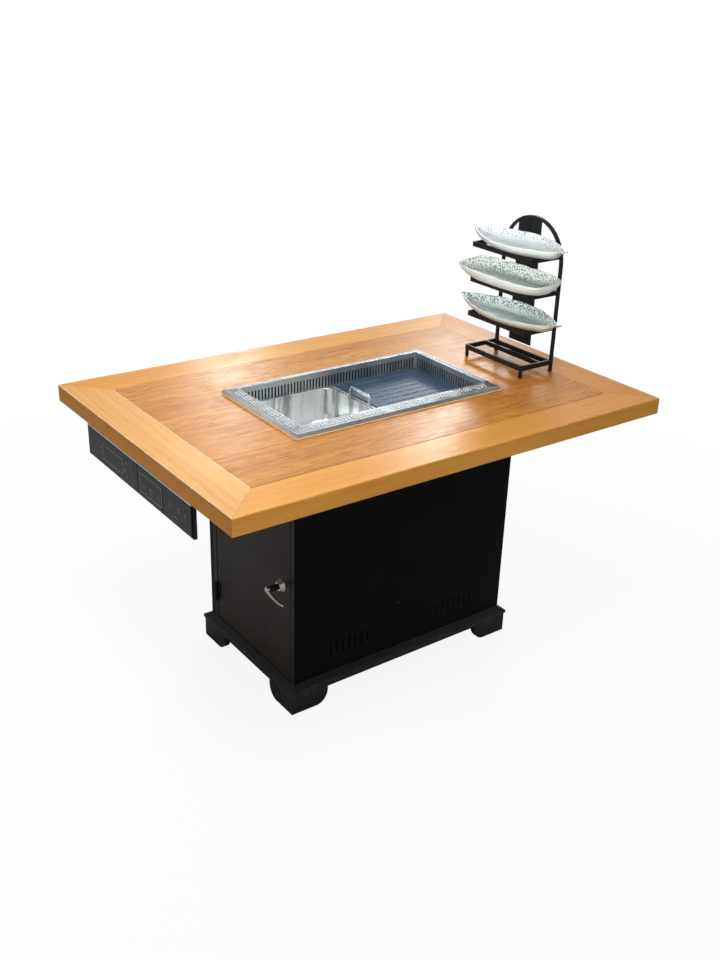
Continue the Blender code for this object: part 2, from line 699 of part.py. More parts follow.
def slotted_wall(half_length):
    """Return a sheet wall with an even row of upright air slots."""
    outside = rectangle(-half_length, WALL_BOTTOM, half_length, WALL_TOP)
    room = 2 * half_length - 2 * WALL_SLOT_END_MARGIN - WALL_SLOT_WIDTH
    gaps = int(room / WALL_SLOT_PITCH)
    slot_top = WALL_TOP - WALL_SLOT_TOP_DROP
    slots = []
    for index in range(gaps + 1):
        middle = (index - gaps / 2) * WALL_SLOT_PITCH
        low = middle - WALL_SLOT_WIDTH / 2
        high = middle + WALL_SLOT_WIDTH / 2
        slots.append(rectangle(low, slot_top - WALL_SLOT_HEIGHT, high, slot_top))
    return flat_outline([outside] + slots, WALL_SHEET)


def build_cooker_case():
    """Deck with the pot opening, and the smoke case that hangs under the rim."""
    outside = rectangle(-DECK_HALF_LENGTH, -DECK_HALF_WIDTH, DECK_HALF_LENGTH, DECK_HALF_WIDTH)
    pot_half_length = BASIN_HALF_LENGTH + POT_SHEET + LIFT_CLEARANCE
    pot_half_width = BASIN_HALF_WIDTH + POT_SHEET + LIFT_CLEARANCE
    pot_opening = rectangle(
        POT_CENTRE_X - pot_half_length, -pot_half_width, POT_CENTRE_X + pot_half_length, pot_half_width
    )
    deck = flat_outline([outside, pot_opening], DECK_SHEET)
    deck.location = (0, 0, DECK_TOP - DECK_SHEET / 2)
    finish(deck, "cooker_deck", STEEL)

    case = box(
        (-CASE_HALF_LENGTH, -CASE_HALF_WIDTH, CASE_BOTTOM),
        (CASE_HALF_LENGTH, CASE_HALF_WIDTH, CASE_TOP),
    )
    inner_length = CASE_HALF_LENGTH - CASE_SHEET
    inner_width = CASE_HALF_WIDTH - CASE_SHEET
    hollow = box(
        (-inner_length, -inner_width, CASE_FLOOR),
        (inner_length, inner_width, CASE_TOP + CASE_SHEET),
    )
    half_duct = DUCT_WIDTH / 2 - DUCT_SHEET
    outlet = box(
        (DUCT_CENTRE_X - half_duct, -half_duct, CASE_BOTTOM - CASE_SHEET),
        (DUCT_CENTRE_X + half_duct, half_duct, CASE_FLOOR + CASE_SHEET),
    )
    finish(combine(case, [hollow, outlet], "DIFFERENCE"), "cooker_case", SHEET_STEEL)


def build_hot_pot():
    """Rectangular pot with round corners, a turned-down flange and two lifting handles."""
    mesh = bpy.data.meshes.new("hot_pot")
    shape = bmesh.new()
    bmesh.ops.create_cube(shape, size=1.0)
    bmesh.ops.scale(shape, vec=(2 * BASIN_HALF_LENGTH, 2 * BASIN_HALF_WIDTH, POT_DEPTH), verts=shape.verts)
    lids = [face for face in shape.faces if face.normal.z > 0.5]
    bmesh.ops.delete(shape, geom=lids, context="FACES_ONLY")
    upright = [edge for edge in shape.edges if abs(edge.verts[0].co.z - edge.verts[1].co.z) > POT_DEPTH / 2]
    round_edges(shape, upright, POT_CORNER_RADIUS, CURVE_STEPS)
    foot = [edge for edge in shape.edges if all(v.co.z < 0 for v in edge.verts) and len(edge.link_faces) == 2]
    turned = [edge for edge in foot if edge.calc_face_angle() > pi / 4]
    round_edges(shape, turned, POT_BOTTOM_RADIUS, BEND_STEPS)
    rim = [edge for edge in shape.edges if edge.is_boundary]
    stretch_x = (POT_LENGTH / 2) / BASIN_HALF_LENGTH
    stretch_y = POT_HALF_WIDTH / BASIN_HALF_WIDTH
    flange = bmesh.ops.extrude_edge_only(shape, edges=rim)["geom"]
    flange_verts = [item for item in flange if isinstance(item, bmesh.types.BMVert)]
    bmesh.ops.scale(shape, vec=(stretch_x, stretch_y, 1.0), verts=flange_verts)
    edge_loop = [item for item in flange if isinstance(item, bmesh.types.BMEdge) and item.is_boundary]
    skirt = bmesh.ops.extrude_edge_only(shape, edges=edge_loop)["geom"]
    skirt_verts = [item for item in skirt if isinstance(item, bmesh.types.BMVert)]
    bmesh.ops.translate(shape, vec=(0, 0, -POT_SKIRT), verts=skirt_verts)
    bmesh.ops.recalc_face_normals(shape, faces=shape.faces)
    shape.to_mesh(mesh)
    shape.free()
    pot = mesh_object("hot_pot", mesh)
    pot.location = (POT_CENTRE_X, 0, POT_FLANGE_TOP - POT_DEPTH / 2)
    sheet = pot.modifiers.new("sheet", "SOLIDIFY")
    sheet.thickness = POT_SHEET
    sheet.offset = -1.0 if points_inwards(pot) else 1.0
    sheet.use_even_offset = True
    finish(union([bake_modifiers(pot)] + pot_handles()), "hot_pot", POT_STEEL)


def round_edges(shape, edges, radius, segments):
    """Round some edges of a mesh."""
    bmesh.ops.bevel(shape, geom=edges, offset=radius, segments=segments, profile=0.5, affect="EDGES")


def pot_handles():
    """Return the two welded lifting handles, with their feet sunk into the flange."""
    handles = []
    foot_level = POT_FLANGE_TOP - POT_SHEET / 2
    bar_level = POT_FLANGE_TOP + POT_HANDLE_HEIGHT - POT_HANDLE_RADIUS
    half = POT_HANDLE_WIDTH / 2
    for side in (-1, 1):
        x = POT_CENTRE_X + side * (BASIN_HALF_LENGTH + POT_HANDLE_LIP_DISTANCE)
        path = [(x, -half, foot_level)]
        for end, start in ((-1, pi), (1, pi / 2)):
            for step in range(BEND_STEPS + 1):
                angle = start - pi / 2 * step / BEND_STEPS
                y = end * (half - POT_HANDLE_BEND) + POT_HANDLE_BEND * cos(angle)
                path.append((x, y, bar_level - POT_HANDLE_BEND * (1 - sin(angle))))
        path.append((x, half, foot_level))
        handles.append(tube(path, POT_HANDLE_RADIUS))
    return handles


def points_inwards(pot):
    """Tell whether the pot's floor faces up into the basin."""
    floor = min(pot.data.polygons, key=lambda face: face.center.z)
    return floor.normal.z > 0


def build_griddle():
    """Ribbed griddle on a skirt, and the serpentine heating tube that lies on the deck below it."""
    low = DECK_TOP + SEAT_GAP
    underside = low + GRIDDLE_SKIRT_HEIGHT
    high = underside + GRIDDLE_THICKNESS
    plate = box((GRIDDLE_LEFT, -POT_HALF_WIDTH, low), (GRIDDLE_RIGHT, POT_HALF_WIDTH, high))
    hollow = box(
        (GRIDDLE_CENTRE_X - HEATER_HALF_LENGTH, -HEATER_HALF_WIDTH, low - GRIDDLE_SKIRT_HEIGHT),
        (GRIDDLE_CENTRE_X + HEATER_HALF_LENGTH, HEATER_HALF_WIDTH, underside),
    )
    plate = combine(plate, [hollow], "DIFFERENCE")
    rib_rows = int((2 * POT_HALF_WIDTH - 2 * GRIDDLE_EDGE_MARGIN) / GRIDDLE_RIB_PITCH)
    dash_count = int((GRIDDLE_LENGTH - 2 * GRIDDLE_EDGE_MARGIN - GRIDDLE_DASH_LENGTH) / GRIDDLE_DASH_PITCH)
    ribs = []
    for row in range(rib_rows + 1):
        y = (row - rib_rows / 2) * GRIDDLE_RIB_PITCH
        for dash in range(dash_count + 1):
            x = GRIDDLE_CENTRE_X + (dash - dash_count / 2) * GRIDDLE_DASH_PITCH
            corner_low = (x - GRIDDLE_DASH_LENGTH / 2, y - GRIDDLE_RIB_WIDTH / 2, high - GRIDDLE_RIB_HEIGHT)
            corner_high = (x + GRIDDLE_DASH_LENGTH / 2, y + GRIDDLE_RIB_WIDTH / 2, high + GRIDDLE_RIB_HEIGHT)
            ribs.append(box(corner_low, corner_high))
    finish(union([plate, merge(ribs)]), "griddle", GRIDDLE_COATING)

    level = DECK_TOP + SEAT_GAP + HEATER_TUBE_RADIUS
    edge = HEATER_CLEARANCE + HEATER_TUBE_RADIUS
    reach = HEATER_HALF_WIDTH - edge - HEATER_TURN_PITCH / 2
    turns = int(2 * (HEATER_HALF_LENGTH - edge) / HEATER_TURN_PITCH)
    path = []
    for turn in range(turns + 1):
        x = GRIDDLE_CENTRE_X + (turn - turns / 2) * HEATER_TURN_PITCH
        ends = (-reach, reach) if turn % 2 == 0 else (reach, -reach)
        path.append((x, ends[0], level))
        path.append((x, ends[1], level))
        if turn < turns:
            bulge = copysign(HEATER_TURN_PITCH / 2, ends[1])
            for step in range(1, CURVE_STEPS):
                angle = pi * step / CURVE_STEPS
                across = HEATER_TURN_PITCH / 2 * (1 - cos(angle))
                path.append((x + across, ends[1] + bulge * sin(angle), level))
    finish(tube(path, HEATER_TUBE_RADIUS), "griddle_heating_tube", HEATER_SHEATH)


def build_hob():
    """Induction hob that stands in the smoke case under the pot."""
    half_length = BASIN_HALF_LENGTH - HOB_MARGIN
    half_width = BASIN_HALF_WIDTH - HOB_MARGIN
    glass_bottom = HOB_GLASS_TOP - HOB_GLASS_THICKNESS
    glass = box(
        (POT_CENTRE_X - half_length, -half_width, glass_bottom),
        (POT_CENTRE_X + half_length, half_width, HOB_GLASS_TOP),
    )
    finish(glass, "hob_glass", BLACK_GLASS)
    body = box(
        (POT_CENTRE_X - half_length, -half_width, CASE_FLOOR + SEAT_GAP),
        (POT_CENTRE_X + half_length, half_width, glass_bottom - SEAT_GAP),
    )
    finish(body, "hob_body", BLACK_PLASTIC)


def build_smoke_path():
    """Square duct from the case, sliding grease filter and the fan in its housing."""
    half = DUCT_WIDTH / 2
    bore = half - DUCT_SHEET
    duct = flat_outline(
        [rectangle(-half, -half, half, half), rectangle(-bore, -bore, bore, bore)], DUCT_TOP - DUCT_BOTTOM
    )
    duct.location = (DUCT_CENTRE_X, 0, (DUCT_TOP + DUCT_BOTTOM) / 2)
    finish(duct, "smoke_duct", SHEET_STEEL)

    reach = half + FILTER_OVERLAP
    cell = (2 * reach - FILTER_BAR) / FILTER_CELLS
    cells = [rectangle(-reach, -reach, reach, reach)]
    for row in range(FILTER_CELLS):
        for column in range(FILTER_CELLS):
            u = -reach + FILTER_BAR + column * cell
            v = -reach + FILTER_BAR + row * cell
            cells.append(rectangle(u, v, u + cell - FILTER_BAR, v + cell - FILTER_BAR))
    grease_filter = flat_outline(cells, FILTER_THICKNESS)
    grease_filter.location = (DUCT_CENTRE_X, 0, FILTER_BASE + FILTER_THICKNESS / 2)
    finish(grease_filter, "grease_filter", SHEET_STEEL)

    left = DUCT_CENTRE_X - FAN_INNER_HALF
    right = DUCT_CENTRE_X + FAN_INNER_HALF
    shell = box(
        (left - FAN_SHEET, FAN_FRONT, FLOOR_TOP + SEAT_GAP),
        (right + FAN_SHEET, FAN_INNER_HALF + FAN_SHEET, FAN_TOP),
    )
    hollow = box((left, FAN_FRONT + FAN_SHEET, FAN_FLOOR), (right, FAN_INNER_HALF, FAN_ROOF))
    inlet = cylinder(FAN_INLET_RADIUS, 4 * FAN_SHEET, (DUCT_CENTRE_X, 0, FAN_ROOF))
    half_outlet = FAN_OUTLET_WIDTH / 2
    outlet_low = LOUVRE_CENTRE_HEIGHT - FAN_OUTLET_HEIGHT / 2
    outlet = box(
        (LOUVRE_GROUP_OFFSET - half_outlet, FAN_FRONT - FAN_SHEET, outlet_low),
        (LOUVRE_GROUP_OFFSET + half_outlet, FAN_FRONT + 2 * FAN_SHEET, outlet_low + FAN_OUTLET_HEIGHT),
    )
    finish(combine(shell, [hollow, inlet, outlet], "DIFFERENCE"), "fan_housing", SHEET_STEEL)

    motor = cylinder(MOTOR_RADIUS, MOTOR_HEIGHT, (DUCT_CENTRE_X, 0, MOTOR_BASE + MOTOR_HEIGHT / 2))
    shaft = cylinder(SHAFT_RADIUS, 2 * SHAFT_LENGTH, (DUCT_CENTRE_X, 0, MOTOR_TOP))
    finish(union([motor, shaft]), "fan_motor", BLACK_PLASTIC)

    disc = cylinder(IMPELLER_RADIUS, IMPELLER_DISC, (0, 0, IMPELLER_DISC / 2))
    hub = cylinder(HUB_RADIUS, IMPELLER_HEIGHT, (0, 0, IMPELLER_HEIGHT / 2))
    blades = []
    for index in range(IMPELLER_BLADES):
        turn = 2 * pi * index / IMPELLER_BLADES
        blade = box(
            (-IMPELLER_BLADE_DEPTH / 2, -IMPELLER_BLADE_THICKNESS / 2, IMPELLER_DISC / 2),
            (IMPELLER_BLADE_DEPTH / 2, IMPELLER_BLADE_THICKNESS / 2, IMPELLER_HEIGHT),
        )
        middle = IMPELLER_RADIUS - IMPELLER_BLADE_DEPTH / 2 - IMPELLER_BLADE_THICKNESS
        blade.location.x = middle * cos(turn)
        blade.location.y = middle * sin(turn)
        blade.rotation_euler = (0, 0, turn)
        blades.append(blade)
    rotor = union([disc, hub, merge(blades)])
    bore_radius = SHAFT_RADIUS + SPINDLE_CLEARANCE
    rotor = combine(rotor, [cylinder(bore_radius, 3 * IMPELLER_HEIGHT, (0, 0, 0))], "DIFFERENCE")
    rotor.location = (DUCT_CENTRE_X, 0, IMPELLER_BASE)
    finish(rotor, "fan_impeller", SHEET_STEEL)


def build_control_panel():
    """Flanged housing under the left edge of the top, with three touch glasses on its face."""
    face = -TABLE_LENGTH / 2 + TOUCH_GLASS + SEAT_GAP
    back = face + CONTROL_THICKNESS
    top = TOP_UNDERSIDE - SEAT_GAP
    bottom = top - CONTROL_DROP
    profile = [
        (face, bottom),
        (back, bottom),
        (back, top - CONTROL_FLANGE_SHEET),
        (back + CONTROL_FLANGE, top - CONTROL_FLANGE_SHEET),
        (back + CONTROL_FLANGE, top),
        (face, top),
    ]
    housing = stand_along_x(flat_outline([profile], CONTROL_LENGTH), 0)
    finish(housing, "control_panel_housing", BLACK_PLASTIC)

    near = -CONTROL_LENGTH / 2 + CONTROL_BORDER
    middle = near + TOUCH_NEAR_LENGTH + TOUCH_SEAM
    far = middle + TOUCH_MIDDLE_LENGTH + TOUCH_SEAM
    end = CONTROL_LENGTH / 2 - CONTROL_BORDER
    spans = (
        ("near_touch_glass", near, middle - TOUCH_SEAM),
        ("middle_touch_glass", middle, far - TOUCH_SEAM),
        ("far_touch_glass", far, end),
    )
    for name, low_y, high_y in spans:
        low = (-TABLE_LENGTH / 2, low_y, bottom + CONTROL_BORDER)
        high = (-TABLE_LENGTH / 2 + TOUCH_GLASS, high_y, top - CONTROL_BORDER)
        finish(box(low, high), name, BLACK_GLASS)


def build_door():
    """Frame, magnetic catch, door panel on its hinge axis, and two lift-off hinges."""
    stile = INSIDE_HALF_DEPTH - SEAT_GAP
    outline = [
        (HINGE_STILE_Y, CABINET_BASE),
        (stile, CABINET_BASE),
        (stile, CABINET_TOP),
        (-stile, CABINET_TOP),
        (-stile, DOOR_HEAD_HEIGHT),
        (HINGE_STILE_Y, DOOR_HEAD_HEIGHT),
    ]
    frame = stand_along_y(flat_outline([outline], DOOR_THICKNESS), DOOR_CENTRE_X)
    finish(frame, "door_frame", BLACK_LACQUER)

    catch = box(
        (DOOR_INNER_X + SEAT_GAP, -stile, CATCH_HEIGHT - CATCH_LENGTH / 2),
        (DOOR_INNER_X + SEAT_GAP + CATCH_DEPTH, -stile + CATCH_WIDTH, CATCH_HEIGHT + CATCH_LENGTH / 2),
    )
    finish(catch, "magnetic_catch", BLACK_PLASTIC)

    hinge_axis = bpy.data.objects.new("door_hinge_axis", None)
    hinge_axis.location = (HINGE_AXIS_X, HINGE_AXIS_Y, 0)
    PARTS.objects.link(hinge_axis)
    panel = [
        (DOOR_FREE_Y, DOOR_BASE),
        (DOOR_HINGE_Y, DOOR_BASE),
        (DOOR_HINGE_Y, DOOR_TOP),
        (DOOR_FREE_Y, DOOR_TOP),
    ]
    spindle_hole = circle(HANDLE_Y, HANDLE_HEIGHT, SPINDLE_RADIUS + SPINDLE_CLEARANCE)
    door = stand_along_y(flat_outline([panel, spindle_hole], DOOR_THICKNESS), DOOR_CENTRE_X)
    finish(door, "door_panel", BLACK_LACQUER)

    leaf_x = DOOR_FACE_X - SEAT_GAP - HINGE_LEAF_THICKNESS / 2
    moving = [door] + build_handle()
    for place, centre in (("low", HINGE_LOW_CENTRE), ("high", HINGE_HIGH_CENTRE)):
        lower = centre - HINGE_HALF_HEIGHT / 2
        upper = centre + HINGE_HALF_HEIGHT / 2 + 2 * SEAT_GAP
        barrel = cylinder(HINGE_BARREL_RADIUS, HINGE_HALF_HEIGHT, (HINGE_AXIS_X, HINGE_AXIS_Y, lower))
        pin = cylinder(HINGE_PIN_RADIUS, 2 * HINGE_HALF_HEIGHT, (HINGE_AXIS_X, HINGE_AXIS_Y, centre))
        fixed = union([hinge_leaf(leaf_x, 1, lower), barrel, pin])
        finish(fixed, place + "_hinge_frame_leaf", BLACK_IRON)
        socket = cylinder(HINGE_BARREL_RADIUS, HINGE_HALF_HEIGHT, (HINGE_AXIS_X, HINGE_AXIS_Y, upper))
        bore_radius = HINGE_PIN_RADIUS + SPINDLE_CLEARANCE
        bore = cylinder(bore_radius, 4 * HINGE_HALF_HEIGHT, (HINGE_AXIS_X, HINGE_AXIS_Y, upper))
        leaf = combine(union([hinge_leaf(leaf_x, -1, upper), socket]), [bore], "DIFFERENCE")
        moving.append(finish(leaf, place + "_hinge_door_leaf", BLACK_IRON))
    for part in moving:
        parent_to(part, hinge_axis)


def hinge_leaf(leaf_x, side, level):
    """Return one flat leaf from the barrel outwards."""
    inner = HINGE_AXIS_Y + side * HINGE_LEAF_INSET
    outer = HINGE_AXIS_Y + side * (HINGE_BARREL_RADIUS + HINGE_LEAF_WIDTH)
    half = HINGE_HALF_HEIGHT / 2
    outside = rectangle(min(inner, outer), level - half, max(inner, outer), level + half)
    return stand_along_y(flat_outline([outside], HINGE_LEAF_THICKNESS), leaf_x)


def parent_to(part, empty):
    """Parent a part to an empty and keep it where it is."""
    bpy.context.view_layer.update()
    part.parent = empty
    part.matrix_parent_inverse = empty.matrix_world.inverted()


def tapered(radius_out, radius_in, length, location, sides):
    """Return a closed many-sided cone along X, with its first radius towards -X."""
    mesh = bpy.data.meshes.new("tapered")
    shape = bmesh.new()
    bmesh.ops.create_cone(
        shape, cap_ends=True, segments=sides, radius1=radius_out, radius2=radius_in, depth=length
    )
    shape.to_mesh(mesh)
    shape.free()
    obj = mesh_object("tapered", mesh)
    obj.rotation_euler = (0, pi / 2, 0)
    obj.location = location
    return obj


def build_handle():
    """Rosette on the door, spindle with its cam through it, and the chrome lever outside."""
    rosette_face = DOOR_FACE_X - SEAT_GAP - ROSETTE_THICKNESS
    place = (rosette_face + ROSETTE_THICKNESS / 2, HANDLE_Y, HANDLE_HEIGHT)
    rosette = tapered(ROSETTE_NECK_RADIUS, ROSETTE_RADIUS, ROSETTE_THICKNESS, place, ROSETTE_SIDES)
    bore = cylinder(SPINDLE_RADIUS + SPINDLE_CLEARANCE, 2 * ROSETTE_THICKNESS, place, "X")
    rosette = combine(rosette, [bore], "DIFFERENCE")
    finish(rosette, "handle_rosette", CHROME)

    spindle_start = rosette_face - SPINDLE_REACH
    spindle_end = DOOR_INNER_X + SEAT_GAP + CAM_THICKNESS
    middle = (spindle_start + spindle_end) / 2
    spindle = cylinder(SPINDLE_RADIUS, spindle_end - spindle_start, (middle, HANDLE_Y, HANDLE_HEIGHT), "X")
    cam_x = DOOR_INNER_X + SEAT_GAP + CAM_THICKNESS / 2
    half = CAM_WIDTH / 2
    blade = rectangle(HANDLE_Y - half, HANDLE_HEIGHT - half, HANDLE_Y + half, HANDLE_HEIGHT + CAM_LENGTH)
    cam = stand_along_y(flat_outline([blade], CAM_THICKNESS), cam_x)
    finish(union([spindle, cam]), "handle_spindle", BLACK_PLASTIC)

    boss_x = spindle_start - SEAT_GAP - LEVER_BOSS_LENGTH / 2
    boss = cylinder(LEVER_BOSS_RADIUS, LEVER_BOSS_LENGTH, (boss_x, HANDLE_Y, HANDLE_HEIGHT), "X")
    path = []
    radii = []
    for step in range(CURVE_STEPS + 1):
        share = step / CURVE_STEPS
        along = LEVER_LENGTH * share
        y = HANDLE_Y - along * cos(LEVER_DROP_ANGLE)
        z = HANDLE_HEIGHT - along * sin(LEVER_DROP_ANGLE)
        path.append((boss_x + LEVER_CURL * share ** 3, y, z))
        radii.append(1.0 + (LEVER_TIP_RADIUS / LEVER_RADIUS - 1.0) * share)
    lever = union([boss, tube(path, LEVER_RADIUS, radii=radii)])
    finish(lever, "handle_lever", CHROME)
    return [rosette, spindle, lever]


def rack_level(top):
    """Return one rack level in a single plane: an outer frame of flat bars and one cross bar."""
    back = RACK_BACK_X - RACK_UPRIGHT_DEPTH - SEAT_GAP
    left = RACK_CENTRE_Y - RACK_HALF_WIDTH
    right = RACK_CENTRE_Y + RACK_HALF_WIDTH
    thick = RACK_BAR_THICKNESS
    cross = RACK_FRONT_X + RACK_CROSS_BAR_SHARE * (back - RACK_FRONT_X)
    loops = [
        rectangle(RACK_FRONT_X, left, back, right),
        rectangle(RACK_FRONT_X + thick, left + thick, cross, right - thick),
        rectangle(cross + thick, left + thick, back - thick, right - thick),
    ]
    level = flat_outline(loops, RACK_BAR_HEIGHT)
    level.location = (0, 0, top - RACK_BAR_HEIGHT / 2)
    return level


def rack_legs(top):
    """Return the two front legs, drawn in a little from the bars that they are welded to."""
    legs = []
    for side in (-1, 1):
        outer = RACK_CENTRE_Y + side * (RACK_HALF_WIDTH - RACK_WELD_INSET)
        inner = RACK_CENTRE_Y + side * (RACK_HALF_WIDTH - RACK_LEG_WIDTH)
        low = (RACK_FRONT_X + RACK_WELD_INSET, min(outer, inner), RACK_FLOOR)
        high = (RACK_FRONT_X + RACK_LEG_WIDTH, max(outer, inner), top - RACK_BAR_HEIGHT / 2)
        legs.append(box(low, high))
    return legs


def build_dish_rack():
    """Flat-bar rack: base, arched back frame with its slat, and three welded tiers."""
    base_top = RACK_FLOOR + RACK_BASE_HEIGHT
    finish(union([rack_level(base_top)] + rack_legs(base_top)), "rack_base", BLACK_IRON)
    for tier, name in enumerate(TIER_NAMES):
        level = RACK_FLOOR + RACK_FIRST_TIER + tier * RACK_TIER_PITCH
        finish(rack_level(level), name + "_rack_tier", BLACK_IRON)

    spring = RACK_FLOOR + RACK_ARCH_TOP - RACK_HALF_WIDTH
    inner_half = RACK_HALF_WIDTH - RACK_UPRIGHT_WIDTH
    outer_curve = half_circle(RACK_CENTRE_Y, spring, RACK_HALF_WIDTH)
    inner_curve = half_circle(RACK_CENTRE_Y, spring, inner_half)
    outline = [(RACK_CENTRE_Y + RACK_HALF_WIDTH, RACK_FLOOR)] + outer_curve
    outline += [(RACK_CENTRE_Y - RACK_HALF_WIDTH, RACK_FLOOR), (RACK_CENTRE_Y - inner_half, RACK_FLOOR)]
    outline += inner_curve[::-1] + [(RACK_CENTRE_Y + inner_half, RACK_FLOOR)]
    middle_x = RACK_BACK_X - RACK_UPRIGHT_DEPTH / 2
    arch = stand_along_y(flat_outline([outline], RACK_UPRIGHT_DEPTH), middle_x)

    weld_radius = inner_half + RACK_SLAT_WELD
    slat_left = RACK_SLAT_SHIFT + RACK_SLAT_WIDTH / 2
    slat_right = RACK_SLAT_SHIFT - RACK_SLAT_WIDTH / 2
    slat_bottom = RACK_FLOOR + RACK_SLAT_BOTTOM
    slat = [(RACK_CENTRE_Y + slat_left, slat_bottom)]
    for step in range(CURVE_STEPS + 1):
        across = slat_left + (slat_right - slat_left) * step / CURVE_STEPS
        slat.append((RACK_CENTRE_Y + across, spring + sqrt(weld_radius ** 2 - across ** 2)))
    slat.append((RACK_CENTRE_Y + slat_right, slat_bottom))
    board = stand_along_y(flat_outline([slat], RACK_SLAT_THICKNESS), middle_x)
    finish(union([arch, board]), "rack_back_frame", BLACK_IRON)


def half_circle(centre_u, centre_v, radius):
    """Return the upper half of a circle, from its positive side to its negative side."""
    turns = [pi * step / ARCH_STEPS for step in range(ARCH_STEPS + 1)]
    return [(centre_u + radius * cos(turn), centre_v + radius * sin(turn)) for turn in turns]


def dish(length, depth, roundness, flat_share, shift, level):
    """Return a thin bowl with its flat foot at a level and its rim rising to the back."""
    mesh = bpy.data.meshes.new("dish")
    shape = bmesh.new()
    bmesh.ops.create_uvsphere(shape, u_segments=ROUND_SEGMENTS, v_segments=DISH_RINGS, radius=1.0)
    upper = [vertex for vertex in shape.verts if vertex.co.z > WELD_DISTANCE]
    bmesh.ops.delete(shape, geom=upper, context="VERTS")
    for vertex in shape.verts:
        across, along, drop = vertex.co
        slim = (1.0 - along * along) ** (roundness - 0.5) if abs(along) < 1.0 else 0.0
        sunk = min(1.0, -drop / flat_share)
        vertex.co.x = across * slim * DISH_WIDTH / 2
        vertex.co.y = along * length / 2
        vertex.co.z = -sunk * depth + (1.0 - sunk) * DISH_BACK_RISE / 2 * across * slim
    bmesh.ops.remove_doubles(shape, verts=shape.verts, dist=WELD_DISTANCE)
    bmesh.ops.recalc_face_normals(shape, faces=shape.faces)
    shape.to_mesh(mesh)
    shape.free()
    obj = mesh_object("dish", mesh)
    wall = obj.modifiers.new("wall", "SOLIDIFY")
    wall.thickness = DISH_WALL
    wall.offset = -1.0
    middle_x = RACK_FRONT_X + (RACK_DEPTH - RACK_UPRIGHT_DEPTH) / 2 - DISH_FORWARD
    obj.location = (middle_x, RACK_CENTRE_Y + shift, level + depth)
    return bake_modifiers(obj)


def build_dishes():
    """Two boat-shaped dishes with a long tray between them, one on each tier."""
    first = RACK_FLOOR + RACK_FIRST_TIER + SEAT_GAP
    forms = (
        (LOW_BOAT_LENGTH, BOAT_DEPTH, BOAT_ROUNDNESS, BOAT_FLAT_SHARE, LOW_BOAT_SHIFT),
        (TRAY_LENGTH, TRAY_DEPTH, TRAY_ROUNDNESS, TRAY_FLAT_SHARE, TRAY_SHIFT),
        (TOP_BOAT_LENGTH, BOAT_DEPTH, BOAT_ROUNDNESS, BOAT_FLAT_SHARE, TOP_BOAT_SHIFT),
    )
    for tier, (name, form) in enumerate(zip(TIER_NAMES, forms)):
        finish(dish(*form, first + tier * RACK_TIER_PITCH), name + "_dish", GLAZE)


build_table_top()
build_cabinet()
build_plinth()
build_cooker_rim()
build_cooker_case()
build_hot_pot()
build_griddle()
build_hob()
build_smoke_path()
build_control_panel()
build_door()
build_dish_rack()
build_dishes()
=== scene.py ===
"""Looks of a barbecue and hot-pot table: oiled wood, black lacquer, steel, glass, iron and glazed dishes.

Metres, +Z up. The louvred front is at -Y, and the door and the touch controls are at the -X end.
"""

import json
from math import asin, atan, cos, pi, radians, sin, sqrt

import bmesh
import bpy
from mathutils import Euler, Matrix, Vector

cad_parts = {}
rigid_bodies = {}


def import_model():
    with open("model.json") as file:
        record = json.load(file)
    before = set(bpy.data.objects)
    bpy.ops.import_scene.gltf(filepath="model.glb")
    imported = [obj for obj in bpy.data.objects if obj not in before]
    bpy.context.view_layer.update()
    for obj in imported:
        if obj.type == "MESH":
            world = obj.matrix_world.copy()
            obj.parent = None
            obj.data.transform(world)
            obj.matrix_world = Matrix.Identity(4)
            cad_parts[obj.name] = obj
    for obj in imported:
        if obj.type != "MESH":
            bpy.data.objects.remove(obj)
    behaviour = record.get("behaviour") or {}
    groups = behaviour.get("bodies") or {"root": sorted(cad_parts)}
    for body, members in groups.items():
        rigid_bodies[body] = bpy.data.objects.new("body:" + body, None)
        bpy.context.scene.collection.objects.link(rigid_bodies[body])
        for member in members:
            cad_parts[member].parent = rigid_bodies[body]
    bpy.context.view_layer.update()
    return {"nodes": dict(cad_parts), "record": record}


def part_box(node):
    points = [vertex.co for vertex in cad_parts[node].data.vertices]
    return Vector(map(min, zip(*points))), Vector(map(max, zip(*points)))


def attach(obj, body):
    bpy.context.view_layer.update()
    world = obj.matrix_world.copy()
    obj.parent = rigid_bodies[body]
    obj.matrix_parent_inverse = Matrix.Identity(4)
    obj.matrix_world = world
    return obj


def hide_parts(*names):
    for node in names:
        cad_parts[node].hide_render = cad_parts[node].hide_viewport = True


for leftover in list(bpy.data.objects):
    bpy.data.objects.remove(leftover, do_unlink=True)

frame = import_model()
NODES = frame["nodes"]
BODY_OF = {node: body for body, nodes in frame["record"]["behaviour"]["bodies"].items() for node in nodes}

# Sizes taken from the solids
TABLE_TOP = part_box("top_field_panel")[1].z
RIM_LOW, RIM_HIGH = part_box("front_cooker_rim")
RIM_RAIL = RIM_HIGH.y - RIM_LOW.y
RIM_HALF = (RIM_HIGH.x, -RIM_LOW.y)

# Camera of the photograph
IMAGE_WIDTH = 720
IMAGE_HEIGHT = 960
FOCAL_PIXELS = 1094.83
IMAGE_CENTRE = (391.10, 478.02)
CAMERA_PLACE = Vector((-1.6057, -2.1721, 1.7594))
CAMERA_YAW = radians(-38.2232)
CAMERA_PITCH = radians(25.0499)
CAMERA_ROLL = radians(2.5321)
SENSOR = 36.0


